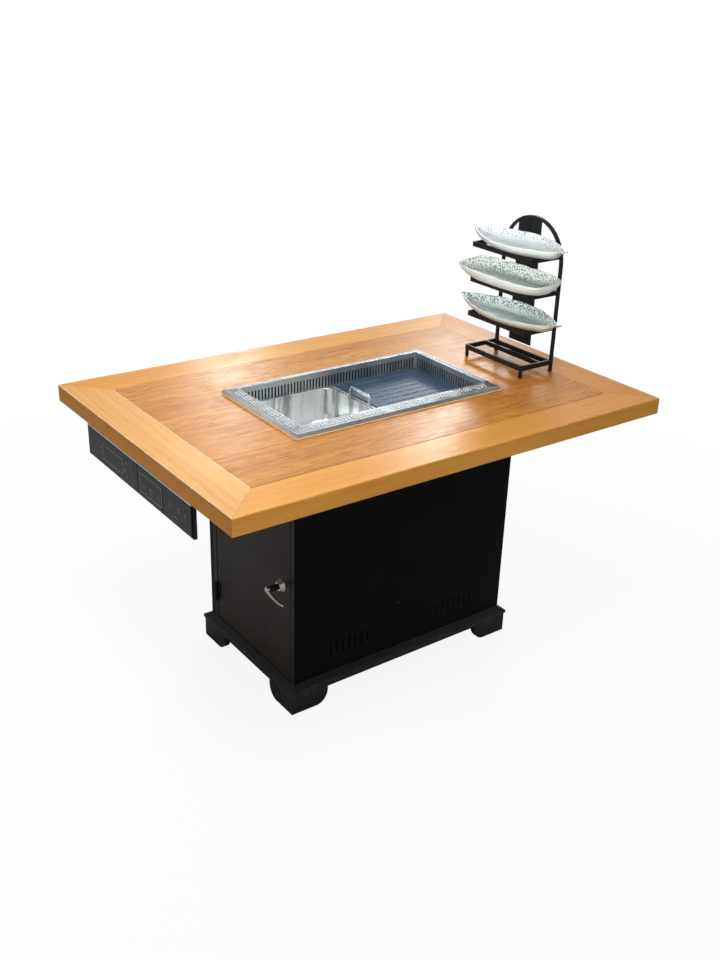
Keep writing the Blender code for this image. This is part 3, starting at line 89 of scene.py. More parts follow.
class Wiring:
    """Adds nodes to one node tree and joins them."""

    def __init__(self, tree):
        self.tree = tree

    def node(self, kind, **settings):
        made = self.tree.nodes.new(kind)
        for name, value in settings.items():
            setattr(made, name, value)
        return made

    def feed(self, socket, value):
        if isinstance(value, bpy.types.NodeSocket):
            self.tree.links.new(value, socket)
        else:
            socket.default_value = value

    def fill(self, made, **given):
        """Feed a node's inputs by name, with _ for each space, and return its outputs."""
        for name, value in given.items():
            self.feed(made.inputs[name.replace("_", " ")], value)
        return made.outputs

    def stack(self, made, *given):
        """Feed a node's first inputs in order, and return its outputs."""
        for socket, value in zip(made.inputs, given):
            self.feed(socket, value)
        return made.outputs

    def math(self, operation, first, second=0.0):
        return self.stack(self.node("ShaderNodeMath", operation=operation), first, second)[0]

    def plus(self, first, second):
        return self.math("ADD", first, second)

    def minus(self, first, second):
        return self.math("SUBTRACT", first, second)

    def times(self, first, second):
        return self.math("MULTIPLY", first, second)

    def noise(self, place, scale, detail=3.0, roughness=0.55, distortion=0.0):
        made = self.node("ShaderNodeTexNoise")
        self.fill(made, Vector=place, Scale=scale, Detail=detail, Roughness=roughness, Distortion=distortion)
        return made.outputs[0]

    def cells(self, place, scale):
        return self.fill(self.node("ShaderNodeTexVoronoi"), Vector=place, Scale=scale)

    def stretch(self, place, scale=(1, 1, 1), turn=(0, 0, 0)):
        return self.fill(self.node("ShaderNodeMapping"), Vector=place, Scale=scale, Rotation=turn)[0]

    def between(self, value, low, high, start=0.0, end=1.0):
        made = self.node("ShaderNodeMapRange", interpolation_type="SMOOTHSTEP")
        return self.fill(made, Value=value, From_Min=low, From_Max=high, To_Min=start, To_Max=end)[0]

    def blend(self, share, first, second, how="MIX"):
        made = self.node("ShaderNodeMix", data_type="RGBA", blend_type=how)
        self.feed(made.inputs[0], share)
        self.feed(made.inputs[6], first)
        self.feed(made.inputs[7], second)
        return made.outputs[2]

    def split(self, place):
        return self.stack(self.node("ShaderNodeSeparateXYZ"), place)

    def join(self, x, y, z):
        return self.stack(self.node("ShaderNodeCombineXYZ"), x, y, z)[0]

    def bump(self, height, strength, distance):
        made = self.node("ShaderNodeBump")
        return self.fill(made, Height=height, Strength=strength, Distance=distance)[0]

    def attribute(self, name):
        return self.node("ShaderNodeAttribute", attribute_name=name).outputs["Fac"]

    def object_place(self):
        return self.node("ShaderNodeTexCoord").outputs["Object"]

    def group(self, name, **given):
        return self.fill(self.node("ShaderNodeGroup", node_tree=bpy.data.node_groups[name]), **given)


def colour(red, green, blue):
    """Return an opaque colour."""
    return (red, green, blue, 1.0)


def shader_group(name, inputs, outputs):
    """Start a shader node group; each input is (name, kind, default) and each output (name, kind)."""
    tree = bpy.data.node_groups.new(name, "ShaderNodeTree")
    for title, kind, default in inputs:
        socket = tree.interface.new_socket(title, in_out="INPUT", socket_type="NodeSocket" + kind)
        socket.default_value = default
    for title, kind in outputs:
        tree.interface.new_socket(title, in_out="OUTPUT", socket_type="NodeSocket" + kind)
    wires = Wiring(tree)
    return wires, wires.node("NodeGroupInput").outputs, wires.node("NodeGroupOutput").inputs


# Wood: stretch of each layer of the figure along the grain and across it
SWAY_STRETCH = (1.8, 5.0, 5.0)
CLOUD_STRETCH = (1.4, 13.0, 13.0)
LONG_FIBRE_STRETCH = (6.0, 210.0, 210.0)
SHORT_FIBRE_STRETCH = (26.0, 330.0, 330.0)
PORE_STRETCH = (55.0, 900.0, 900.0)
SWAY = 0.045
RINGS_ACROSS = 40.0
RINGS_DEEP = 21.0
RING_WANDER = 1.6
LONG_FIBRE_SHARE = 0.45
SHORT_FIBRE_SHARE = 0.55
BOARD_SHIFT = 9.0
BOARD_TONE = 0.3


def build_wood_figure():
    """Wood with growth rings, fibre streaks and short dark pores; the grain runs along X."""
    wires, given, out = shader_group(
        "wood_figure",
        [
            ("Place", "Vector", (0, 0, 0)),
            ("Light", "Color", colour(0.6, 0.3, 0.1)),
            ("Middle", "Color", colour(0.5, 0.2, 0.08)),
            ("Dark", "Color", colour(0.3, 0.1, 0.03)),
            ("Board Width", "Float", 0.1),
            ("Ring Share", "Float", 0.4),
            ("Streak Share", "Float", 0.4),
            ("Pore Share", "Float", 0.5),
            ("Gloss", "Float", 0.3),
        ],
        [("Colour", "Color"), ("Roughness", "Float"), ("Height", "Float")],
    )
    x, y, z = wires.split(given["Place"])
    board = wires.math("FLOOR", wires.math("DIVIDE", y, given["Board Width"]))
    pick = wires.node("ShaderNodeTexWhiteNoise", noise_dimensions="1D")
    wires.feed(pick.inputs["W"], board)
    chance = pick.outputs["Value"]
    along = wires.plus(x, wires.times(chance, BOARD_SHIFT))
    sway = wires.noise(wires.stretch(wires.join(along, y, z), SWAY_STRETCH), 1.0, 2.0, 0.5)
    bent = wires.plus(y, wires.times(sway, SWAY))
    place = wires.join(along, bent, z)
    broad = wires.noise(wires.stretch(place, CLOUD_STRETCH), 1.0, 3.0, 0.5)
    across = wires.plus(wires.times(bent, RINGS_ACROSS), wires.times(z, RINGS_DEEP))
    phase = wires.times(wires.plus(across, wires.times(broad, RING_WANDER)), 2 * pi)
    rings = wires.between(wires.math("SINE", phase), -0.2, 1.0)
    long_fibre = wires.noise(wires.stretch(place, LONG_FIBRE_STRETCH), 1.0, 4.0, 0.6)
    short_fibre = wires.noise(wires.stretch(place, SHORT_FIBRE_STRETCH), 1.0, 3.0, 0.6)
    fibre = wires.plus(
        wires.times(long_fibre, LONG_FIBRE_SHARE),
        wires.times(short_fibre, SHORT_FIBRE_SHARE),
    )
    streaks = wires.between(fibre, 0.46, 0.60)
    pores = wires.between(wires.noise(wires.stretch(place, PORE_STRETCH), 1.0, 2.0, 0.5), 0.50, 0.66)
    tone = wires.plus(wires.times(wires.minus(chance, 0.5), BOARD_TONE), broad)
    base = wires.blend(wires.between(tone, 0.25, 0.75), given["Middle"], given["Light"])
    ringed = wires.blend(wires.times(rings, given["Ring Share"]), base, given["Dark"])
    streaked = wires.blend(wires.times(streaks, given["Streak Share"]), ringed, given["Dark"])
    finished = wires.blend(wires.times(pores, given["Pore Share"]), streaked, given["Dark"])
    wires.feed(out["Colour"], finished)
    wires.feed(out["Roughness"], wires.plus(given["Gloss"], wires.times(streaks, 0.08)))
    sunk = wires.plus(pores, wires.times(streaks, 0.3))
    wires.feed(out["Height"], wires.minus(1.0, sunk))


BRUSH_STRETCH = (0.012, 1.0, 1.0)
BRUSH_CLOUD_STRETCH = (3.0, 14.0, 14.0)


def build_brushing():
    """Fine parallel brush lines along X, for steel sheet."""
    wires, given, out = shader_group(
        "brushing",
        [("Place", "Vector", (0, 0, 0)), ("Fineness", "Float", 900.0)],
        [("Lines", "Float"), ("Clouds", "Float")],
    )
    lines = wires.noise(wires.stretch(given["Place"], BRUSH_STRETCH), given["Fineness"], 3.0, 0.6)
    clouds = wires.noise(wires.stretch(given["Place"], BRUSH_CLOUD_STRETCH), 1.0, 3.0, 0.5)
    wires.feed(out["Lines"], lines)
    wires.feed(out["Clouds"], clouds)


def build_handling():
    """Smudges left by hands and wiping, as a mask."""
    wires, given, out = shader_group(
        "handling",
        [("Place", "Vector", (0, 0, 0)), ("Scale", "Float", 9.0), ("Amount", "Float", 0.5)],
        [("Mask", "Float")],
    )
    cloud = wires.noise(given["Place"], given["Scale"], 5.0, 0.62, 0.8)
    wires.feed(out["Mask"], wires.times(wires.between(cloud, 0.40, 0.72), given["Amount"]))


def build_wear_and_highlight_group():
    """Wear on the eased edges that a piece marks with its own attribute, broken or even; on the crests, ribs
    and chamfers that a piece marks for it, the same mask lays a painted highlight.
    """
    wires, given, out = shader_group(
        "edge_wear_and_highlight",
        [
            ("Edge", "Float", 0.0),
            ("Place", "Vector", (0, 0, 0)),
            ("Amount", "Float", 0.5),
            ("Evenness", "Float", 0.0),
        ],
        [("Mask", "Float")],
    )
    broken = wires.between(wires.noise(given["Place"], 55.0, 4.0, 0.6), 0.40, 0.66)
    cover = wires.math("MAXIMUM", broken, given["Evenness"])
    wires.feed(out["Mask"], wires.times(wires.times(given["Edge"], cover), given["Amount"]))


def build_spray_skin():
    """Low pebbled skin of sprayed lacquer, moulded plastic and powder coat."""
    wires, given, out = shader_group(
        "spray_skin",
        [("Place", "Vector", (0, 0, 0)), ("Scale", "Float", 400.0)],
        [("Height", "Float")],
    )
    wires.feed(out["Height"], wires.noise(given["Place"], given["Scale"], 2.0, 0.5))


SPECKLE_WOBBLE_SCALE = 320.0
SPECKLE_WOBBLE = 0.0022
SPECKLE_SIZE = 0.52


def build_glaze_speckle():
    """Ragged speckles of many sizes in a glaze, thicker where the given share is high."""
    wires, given, out = shader_group(
        "glaze_speckle",
        [("Place", "Vector", (0, 0, 0)), ("Share", "Float", 0.5), ("Scale", "Float", 210.0)],
        [("Mask", "Float"), ("Height", "Float")],
    )
    place = given["Place"]
    wobble = wires.fill(wires.node("ShaderNodeTexNoise"), Vector=place, Scale=SPECKLE_WOBBLE_SCALE)
    shrunk = wires.node("ShaderNodeVectorMath", operation="SCALE")
    wires.feed(shrunk.inputs[0], wobble["Color"])
    wires.feed(shrunk.inputs["Scale"], SPECKLE_WOBBLE)
    moved = wires.stack(wires.node("ShaderNodeVectorMath", operation="ADD"), place, shrunk.outputs[0])
    cells = wires.cells(moved[0], given["Scale"])
    pick = wires.split(cells["Color"])[0]
    size = wires.times(given["Share"], SPECKLE_SIZE)
    radius = wires.times(size, wires.plus(wires.times(pick, 0.8), 0.35))
    outside = wires.between(cells["Distance"], wires.times(radius, 0.8), radius)
    spots = wires.minus(1.0, outside)
    wires.feed(out["Mask"], spots)
    wires.feed(out["Height"], wires.minus(1.0, spots))


def start_finish(name):
    """Return a new material with its wiring, its Principled shader's inputs and its place on the piece."""
    material = bpy.data.materials.new(name)
    material.use_nodes = True
    wires = Wiring(material.node_tree)
    return material, wires, material.node_tree.nodes["Principled BSDF"].inputs, wires.object_place()


def worn_and_highlit_edges(wires, place, amount, evenness=0.0):
    """Return the mask of wear on a piece's eased edges, which also carries the painted highlights that a
    piece marks on its edges.
    """
    edge = wires.attribute("edge")
    return wires.group("edge_wear_and_highlight", Edge=edge, Place=place, Amount=amount, Evenness=evenness)["Mask"]


def smudges(wires, place, scale, amount):
    """Return the mask of smudges left by hands and wiping."""
    return wires.group("handling", Place=place, Scale=scale, Amount=amount)["Mask"]


WOOD_GLOSS = 0.27
WOOD_SPECULAR = 0.07
# Colour of worn wood edges; on the left border board it is a painted highlight.
BARE_WOOD_AND_HIGHLIGHT = colour(0.90, 0.74, 0.50)


def wood_finish(name, turn, tones, board, shares, wear, evenness):
    """Oiled wood; turn lays the grain along the board, and the shares are of rings, streaks and pores."""
    material, wires, shader, place = start_finish(name)
    figure = wires.group(
        "wood_figure",
        Place=wires.stretch(place, turn=turn),
        Light=tones[0],
        Middle=tones[1],
        Dark=tones[2],
        Board_Width=board,
        Ring_Share=shares[0],
        Streak_Share=shares[1],
        Pore_Share=shares[2],
        Gloss=WOOD_GLOSS,
    )
    wear_and_highlight_mask = worn_and_highlit_edges(wires, place, wear, evenness)
    wires.feed(shader["Base Color"], wires.blend(wear_and_highlight_mask, figure["Colour"], BARE_WOOD_AND_HIGHLIGHT))
    wires.feed(shader["Roughness"], wires.plus(figure["Roughness"], smudges(wires, place, 7.0, 0.06)))
    wires.feed(shader["Normal"], wires.bump(figure["Height"], 0.10, 0.0003))
    shader["Specular IOR Level"].default_value = WOOD_SPECULAR
    return material


def painted_finish(name, base, wear_and_highlight_colour, gloss, specular, skin, wear, handled=0.12):
    """Sprayed lacquer, powder coat or moulded plastic, with wear on its eased edges, which on the plinth is
    also a painted highlight.
    """
    material, wires, shader, place = start_finish(name)
    tone = wires.between(wires.noise(place, 3.0, 3.0), 0.3, 0.7, 0.85, 1.12)
    toned = wires.blend(1.0, base, wires.join(tone, tone, tone), "MULTIPLY")
    wires.feed(shader["Base Color"], wires.blend(worn_and_highlit_edges(wires, place, wear), toned, wear_and_highlight_colour))
    wires.feed(shader["Roughness"], wires.plus(smudges(wires, place, 6.0, handled), gloss))
    pebbles = wires.group("spray_skin", Place=place, Scale=skin)["Height"]
    wires.feed(shader["Normal"], wires.bump(pebbles, 0.08, 0.0003))
    shader["Specular IOR Level"].default_value = specular
    return material


# Pale steel of worn edges, which on the rim's marked faces is a painted highlight
STEEL_WEAR_AND_HIGHLIGHT = colour(0.92, 0.95, 0.96)
BRUSH_DEPTH = 0.0002
PRESSED_STRETCH = (1.0, 1.0, 0.14)
PRESSED_SCALE = 32.0
# Dark streaks on the pressed walls: painted reflections.
PAINTED_REFLECTION_STREAK = colour(0.15, 0.18, 0.18)
REFLECTION_STREAK_SHARE = 0.74
REFLECTION_STREAK_START = 0.004
REFLECTION_STREAK_FULL = 0.024


def steel_finish(name, turn, tones, gloss, fineness, depth, ripple=0.0, floor=0.0, metal=1.0):
    """Brushed stainless sheet; a pressing has its own ripple, and above its floor dark streaks that follow
    the ripple, painted into the colour as reflections.
    """
    material, wires, shader, place = start_finish(name)
    brushed = wires.group("brushing", Place=wires.stretch(place, turn=turn), Fineness=fineness)
    clouded = wires.blend(wires.between(brushed["Clouds"], 0.3, 0.7), *tones)
    height = wires.times(brushed["Lines"], depth * BRUSH_DEPTH)
    if ripple:
        waves = wires.noise(wires.stretch(place, PRESSED_STRETCH), PRESSED_SCALE, 4.0, 0.62)
        height = wires.plus(height, wires.times(waves, ripple))
        wall = wires.between(wires.split(place)[2], floor + REFLECTION_STREAK_START, floor + REFLECTION_STREAK_FULL)
        # Painted reflections: dark streaks in the colour along the ripple, above the floor.
        streaks = wires.times(wires.between(waves, 0.45, 0.62, 0.0, REFLECTION_STREAK_SHARE), wall)
        clouded = wires.blend(streaks, clouded, PAINTED_REFLECTION_STREAK)
    wires.feed(shader["Base Color"], wires.blend(worn_and_highlit_edges(wires, place, 0.7, 0.6), clouded, STEEL_WEAR_AND_HIGHLIGHT))
    lines = wires.between(brushed["Lines"], 0.25, 0.75, gloss - 0.06, gloss + 0.10)
    wires.feed(shader["Roughness"], wires.plus(lines, smudges(wires, place, 14.0, 0.14)))
    wires.feed(shader["Normal"], wires.bump(height, 1.0, 1.0))
    shader["Metallic"].default_value = metal
    return material


SPANGLE_TONES = (colour(0.42, 0.44, 0.46), colour(0.60, 0.62, 0.63))
CHIP_TONES = (colour(0.26, 0.18, 0.11), colour(0.42, 0.31, 0.20))
DUST = colour(0.4, 0.4, 0.4)
GLASS_SPECULAR = 0.30
COATING_TONES = (colour(0.046, 0.080, 0.130), colour(0.072, 0.118, 0.186))
COATING_FLECK = colour(0.20, 0.24, 0.30)
# Paler coating of worn edges; on the rib tops it is a painted highlight.
COATING_WEAR_AND_HIGHLIGHT = colour(0.22, 0.28, 0.36)
COATING_SPECULAR = 0.14


def galvanised_finish():
    """Zinc-coated sheet with its pale spangle."""
    material, wires, shader, place = start_finish("galvanised_sheet_look")
    tone = wires.split(wires.cells(place, 60.0)["Color"])[0]
    wires.feed(shader["Base Color"], wires.blend(tone, *SPANGLE_TONES))
    dulled = wires.between(tone, 0.0, 1.0, 0.34, 0.46)
    wires.feed(shader["Roughness"], wires.plus(dulled, smudges(wires, place, 8.0, 0.2)))
    shader["Metallic"].default_value = 1.0
    return material


def board_finish():
    """Plain chipboard inside the cabinet."""
    material, wires, shader, place = start_finish("plain_board_look")
    tone = wires.split(wires.cells(wires.stretch(place, (1.0, 1.6, 1.0)), 190.0)["Color"])[0]
    wires.feed(shader["Base Color"], wires.blend(tone, *CHIP_TONES))
    wires.feed(shader["Roughness"], wires.between(tone, 0.0, 1.0, 0.62, 0.8))
    wires.feed(shader["Normal"], wires.bump(tone, 0.2, 0.0004))
    return material


def glass_finish(name, base, gloss):
    """Black glass with a little dust, and wiping marks that show only in its gloss."""
    material, wires, shader, place = start_finish(name)
    dust = wires.between(wires.noise(place, 900.0, 2.0), 0.66, 0.74)
    wires.feed(shader["Base Color"], wires.blend(wires.times(dust, 0.05), base, DUST))
    wires.feed(shader["Roughness"], wires.plus(smudges(wires, place, 22.0, 0.10), gloss))
    shader["Specular IOR Level"].default_value = GLASS_SPECULAR
    return material


def griddle_finish():
    """Dark blue-grey baked coating with a fine fleck and cooking haze."""
    material, wires, shader, place = start_finish("griddle_coating_look")
    fleck = wires.between(wires.noise(place, 850.0, 2.0), 0.60, 0.72)
    haze = smudges(wires, place, 11.0, 0.7)
    flecked = wires.blend(wires.times(fleck, 0.35), wires.blend(haze, *COATING_TONES), COATING_FLECK)
    wires.feed(shader["Base Color"], wires.blend(worn_and_highlit_edges(wires, place, 0.6, 0.7), flecked, COATING_WEAR_AND_HIGHLIGHT))
    wires.feed(shader["Roughness"], wires.plus(wires.times(haze, 0.12), 0.42))
    wires.feed(shader["Normal"], wires.bump(fleck, 0.15, 0.0002))
    shader["Specular IOR Level"].default_value = COATING_SPECULAR
    return material


INSIDE_SPECKLE_SCALE = 235.0
OUTSIDE_SPECKLE_SCALE = 150.0
OUTSIDE_SPECKLE = colour(0.36, 0.34, 0.28)
BROKEN_GLAZE = colour(0.34, 0.33, 0.29)


def ragged_reach(wires, cloud, amount):
    """Return a dish's own measure from middle to rim, made uneven by a cloud."""
    return wires.plus(wires.attribute("reach"), wires.times(wires.minus(cloud, 0.5), amount))


def glaze_inside(name, glaze, pool, speckle, near_rim, all_over):
    """Inside of a dish: pale glaze, speckles that gather at the rim and a grey pool in the middle."""
    material, wires, shader, place = start_finish(name)
    cloud = wires.noise(place, 30.0, 3.0, 0.5)
    ragged = ragged_reach(wires, cloud, 0.35)
    pooled = wires.minus(1.0, wires.between(ragged, 0.22, 0.62))
    share = wires.plus(wires.times(wires.between(ragged, 0.36, 0.86), near_rim), all_over)
    spots = wires.group("glaze_speckle", Place=place, Share=share, Scale=INSIDE_SPECKLE_SCALE)
    base = wires.blend(wires.times(pooled, 0.85), glaze, pool)
    wires.feed(shader["Base Color"], wires.blend(wires.times(spots["Mask"], 0.92), base, speckle))
    wires.feed(shader["Roughness"], wires.between(cloud, 0.2, 0.8, 0.08, 0.17))
    wires.feed(shader["Normal"], wires.bump(spots["Height"], 0.25, 0.0004))
    shader["Coat Weight"].default_value = 0.5
    shader["Coat Roughness"].default_value = 0.06
    return material


def glaze_outside(name, glaze, foot):
    """Outside of a dish: cream glaze that thins to bare clay at the foot."""
    material, wires, shader, place = start_finish(name)
    cloud = wires.noise(place, 40.0, 4.0, 0.55)
    ragged = ragged_reach(wires, cloud, 0.3)
    spots = wires.group("glaze_speckle", Place=place, Share=0.22, Scale=OUTSIDE_SPECKLE_SCALE)
    body = wires.blend(wires.between(ragged, 0.62, 0.84), foot, glaze)
    wires.feed(shader["Base Color"], wires.blend(wires.times(spots["Mask"], 0.5), body, OUTSIDE_SPECKLE))
    wires.feed(shader["Roughness"], wires.between(ragged, 0.6, 0.85, 0.42, 0.14))
    wires.feed(shader["Normal"], wires.bump(cloud, 0.12, 0.0006))
    return material


def glaze_rim(name, line):
    """Dark line where the glaze breaks over the rim."""
    material, wires, shader, place = start_finish(name)
    cloud = wires.noise(place, 160.0, 3.0, 0.6)
    wires.feed(shader["Base Color"], wires.blend(wires.between(cloud, 0.3, 0.7), line, BROKEN_GLAZE))
    wires.feed(shader["Roughness"], wires.between(cloud, 0.3, 0.7, 0.14, 0.30))
    return material


def print_finish(name, ink, glow):
    """Printed touch symbol, lit where it has a glow."""
    material, wires, shader, place = start_finish(name)
    patchy = wires.between(wires.noise(place, 240.0, 3.0), 0.3, 0.7, 0.75, 1.0)
    wires.feed(shader["Base Color"], wires.blend(patchy, colour(0.05, 0.05, 0.05), ink))
    wires.feed(shader["Roughness"], wires.between(patchy, 0.75, 1.0, 0.2, 0.3))
    shader["Emission Color"].default_value = ink
    shader["Emission Strength"].default_value = glow
    return material


for build_group in (
    build_wood_figure,
    build_brushing,
    build_handling,
    build_wear_and_highlight_group,
    build_spray_skin,
    build_glaze_speckle,
):
    build_group()

ALONG_X = (0, 0, 0)
ALONG_Y = (0, 0, -pi / 2)
ALONG_Z = (0, pi / 2, 0)

FIELD_TONES = (colour(0.75, 0.340, 0.060), colour(0.63, 0.254, 0.038), colour(0.245, 0.073, 0.012))
LONG_TONES = (colour(0.84, 0.415, 0.084), colour(0.74, 0.325, 0.058), colour(0.46, 0.150, 0.022))
# The left border board's tones are paler than the other boards': painted light from the left.
LEFT_BORDER_PAINTED_LIGHT_TONES = (colour(0.82, 0.475, 0.160), colour(0.74, 0.390, 0.112), colour(0.48, 0.185, 0.040))
SHORT_TONES = (colour(0.78, 0.355, 0.070), colour(0.67, 0.275, 0.048), colour(0.40, 0.125, 0.018))
FIELD_SHARES = (0.18, 0.64, 0.38)
BORDER_SHARES = (0.14, 0.18, 0.12)
FIELD_STRIP = 0.098
WHOLE_BOARD = 0.6
FIELD_WOOD = wood_finish("field_wood", ALONG_X, FIELD_TONES, FIELD_STRIP, FIELD_SHARES, 0.2, 0.0)
LONG_BORDER_WOOD, LEFT_BORDER_WOOD_PAINTED_LIGHT, SHORT_BORDER_WOOD = (
    wood_finish(name, turn, tones, WHOLE_BOARD, BORDER_SHARES, wear, evenness)
    for name, turn, tones, wear, evenness in (
        ("long_border_wood", ALONG_X, LONG_TONES, 0.15, 0.0),
        # Left board: its strong, even edge wear is a painted highlight on its chamfers.
        ("left_border_wood_painted_light", ALONG_Y, LEFT_BORDER_PAINTED_LIGHT_TONES, 0.9, 0.6),
        ("short_border_wood", ALONG_Y, SHORT_TONES, 0.4, 0.3),
    )
)

# Each row: name, colour, colour of worn edges and of the painted highlight on them, gloss, specular, scale of
# the skin, wear, handling
LACQUER, LEFT_END_LACQUER_PAINTED_LIGHT, PLINTH_PAINT, PLASTIC, IRON, SEAM_SHADE, PAINTED_SEAM_HIGHLIGHT, SEAL = (
    painted_finish(name, colour(*base), colour(*wear_and_highlight_colour), *rest)
    for name, base, wear_and_highlight_colour, *rest in (
        ("front_lacquer", (0.0034, 0.0034, 0.0042), (0.04, 0.04, 0.04), 0.42, 0.07, 420.0, 0.4),
        # Lacquer of the door, its frame and the front panel's left end: the black lacquer painted lighter and
        # browner as light falling from the left.
        ("left_end_lacquer_painted_light", (0.0270, 0.0205, 0.0170), (0.07, 0.06, 0.055), 0.34, 0.14, 420.0, 0.4),
        # The plinth's strong edge wear is also a painted highlight along its lip.
        ("plinth_paint", (0.0200, 0.0220, 0.0240), (0.09, 0.10, 0.11), 0.34, 0.14, 380.0, 0.7),
        ("black_plastic_look", (0.008, 0.008, 0.009), (0.06, 0.06, 0.065), 0.40, 0.30, 900.0, 0.4),
        ("rack_powder_coat", (0.010, 0.010, 0.011), (0.10, 0.10, 0.10), 0.42, 0.22, 1500.0, 0.45),
        ("seam_shade", (0.002, 0.002, 0.002), (0.02, 0.02, 0.02), 0.6, 0.1, 900.0, 0.2),
        # Cream strip in the left seam: a painted highlight.
        ("painted_seam_highlight", (0.86, 0.72, 0.52), (0.60, 0.40, 0.20), 0.45, 0.15, 300.0, 0.0, 0.2),
        ("rim_seal_look", (0.74, 0.70, 0.62), (0.5, 0.45, 0.38), 0.35, 0.3, 500.0, 0.0, 0.2),
    )
)

# Steels: two tones, gloss, fineness and depth of the brushing
RIM_TONES = (colour(0.78, 0.83, 0.85), colour(0.66, 0.72, 0.75))
# The rim's band is painted darker than the rest of the rim as shade, and darker on the short rails than on
# the long ones.
LONG_BAND_PAINTED_SHADE_TONES = (colour(0.62, 0.69, 0.73), colour(0.50, 0.56, 0.60))
SHORT_BAND_PAINTED_SHADE_TONES = (colour(0.41, 0.465, 0.50), colour(0.33, 0.375, 0.405))
SLOPE_TONES = (colour(0.62, 0.56, 0.47), colour(0.46, 0.41, 0.34))
# The pressed keys are paler and partly matt: a painted highlight on their raised edges.
FRET_PAINTED_HIGHLIGHT_TONES = (colour(0.90, 0.93, 0.94), colour(0.80, 0.84, 0.85))
WALL_TONES = (colour(0.66, 0.71, 0.71), colour(0.52, 0.57, 0.58))
POT_TONES = (colour(0.98, 0.99, 0.98), colour(0.90, 0.93, 0.93))
# Near-black steel of the cooker's deck and case: soot, and painted shade for the dark inside.
SOOT_AND_SHADE_TONES = (colour(0.024, 0.025, 0.026), colour(0.014, 0.014, 0.015))
HEATER_TONES = (colour(0.30, 0.29, 0.28), colour(0.20, 0.18, 0.17))
CHROME_TONES = (colour(0.72, 0.73, 0.74), colour(0.62, 0.63, 0.65))
# Pale blue, mostly matt strip along the control panel's top: a painted highlight.
PANEL_TOP_HIGHLIGHT_TONES = (colour(0.60, 0.67, 0.80), colour(0.50, 0.57, 0.70))
POT_RIPPLE = 0.0006
POT_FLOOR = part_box("hot_pot")[0].z
LONG_STEEL = steel_finish("long_brushed_steel", ALONG_X, RIM_TONES, 0.24, 900.0, 0.06)
SHORT_STEEL = steel_finish("short_brushed_steel", ALONG_Y, RIM_TONES, 0.24, 900.0, 0.06)
LONG_BAND_SHADED_STEEL = steel_finish("long_band_steel_painted_shade", ALONG_X, LONG_BAND_PAINTED_SHADE_TONES, 0.17, 900.0, 0.08)
SHORT_BAND_SHADED_STEEL = steel_finish("short_band_steel_painted_shade", ALONG_Y, SHORT_BAND_PAINTED_SHADE_TONES, 0.17, 900.0, 0.08)
SLOPE_STEEL = steel_finish("slope_steel", ALONG_X, SLOPE_TONES, 0.24, 900.0, 0.06)
FRET_STEEL_PAINTED_HIGHLIGHT = steel_finish("fret_steel_painted_highlight", ALONG_X, FRET_PAINTED_HIGHLIGHT_TONES, 0.26, 900.0, 0.03, metal=0.3)
WALL_STEEL = steel_finish("wall_steel", ALONG_Z, WALL_TONES, 0.42, 700.0, 0.05)
POT_STEEL = steel_finish(
    "pot_steel", ALONG_Z, POT_TONES, 0.08, 420.0, 0.02, ripple=POT_RIPPLE, floor=POT_FLOOR, metal=0.70
)
SOOT_AND_SHADE_STEEL = steel_finish("soot_and_painted_shade_steel", ALONG_X, SOOT_AND_SHADE_TONES, 0.50, 300.0, 0.05)
HEATER_STEEL = steel_finish("heater_sheath_look", ALONG_Y, HEATER_TONES, 0.40, 700.0, 0.08)
CHROME = steel_finish("handle_chrome", ALONG_Y, CHROME_TONES, 0.09, 300.0, 0.01)
PANEL_TOP_PAINTED_HIGHLIGHT = steel_finish("panel_top_painted_highlight_look", ALONG_Y, PANEL_TOP_HIGHLIGHT_TONES, 0.30, 600.0, 0.03, metal=0.2)

BOARD = board_finish()
ZINC = galvanised_finish()
GRIDDLE = griddle_finish()
GLASS = glass_finish("touch_glass_look", colour(0.010, 0.0098, 0.0090), 0.07)
GREY_PRINT = print_finish("grey_print", colour(0.26, 0.26, 0.24), 0.0)
RED_PRINT = print_finish("red_print", colour(0.30, 0.075, 0.06), 0.12)


def dish_glazes(name, outside, foot, inside, pool, speckle, near_rim, all_over, line):
    """Return a dish's finishes: outside, inside and rim."""
    return (
        glaze_outside(name + "_outside", colour(*outside), colour(*foot)),
        glaze_inside(
            name + "_inside", colour(*inside), colour(*pool), colour(*speckle), near_rim, all_over
        ),
        glaze_rim(name + "_rim", colour(*line)),
    )


PALE_GLAZE = dish_glazes(
    "pale_dish",
    outside=(0.64, 0.71, 0.71),
    foot=(0.40, 0.43, 0.42),
    inside=(0.76, 0.82, 0.83),
    pool=(0.52, 0.58, 0.60),
    speckle=(0.20, 0.21, 0.26),
    near_rim=0.95,
    all_over=0.02,
    line=(0.52, 0.54, 0.52),
)
TRAY_GLAZE = dish_glazes(
    "tray",
    outside=(0.66, 0.72, 0.70),
    foot=(0.48, 0.51, 0.46),
    inside=(0.82, 0.90, 0.84),
    pool=(0.70, 0.79, 0.74),
    speckle=(0.12, 0.17, 0.15),
    near_rim=0.12,
    all_over=0.98,
    line=(0.30, 0.32, 0.28),
)
CELADON_GLAZE = dish_glazes(
    "celadon",
    outside=(0.60, 0.67, 0.62),
    foot=(0.42, 0.44, 0.37),
    inside=(0.78, 0.88, 0.86),
    pool=(0.40, 0.50, 0.54),
    speckle=(0.10, 0.14, 0.14),
    near_rim=1.30,
    all_over=0.03,
    line=(0.08, 0.09, 0.08),
)


def new_object(name, mesh):
    """Link a mesh to the scene as an object at the origin."""
    made = bpy.data.objects.new(name, mesh)
    bpy.context.scene.collection.objects.link(made)
    return made


def bake(made):
    """Turn an object's modifiers into its plain mesh."""
    view = bpy.context.evaluated_depsgraph_get()
    view.update()
    mesh = bpy.data.meshes.new_from_object(made.evaluated_get(view))
    made.modifiers.clear()
    made.data = mesh
    return made


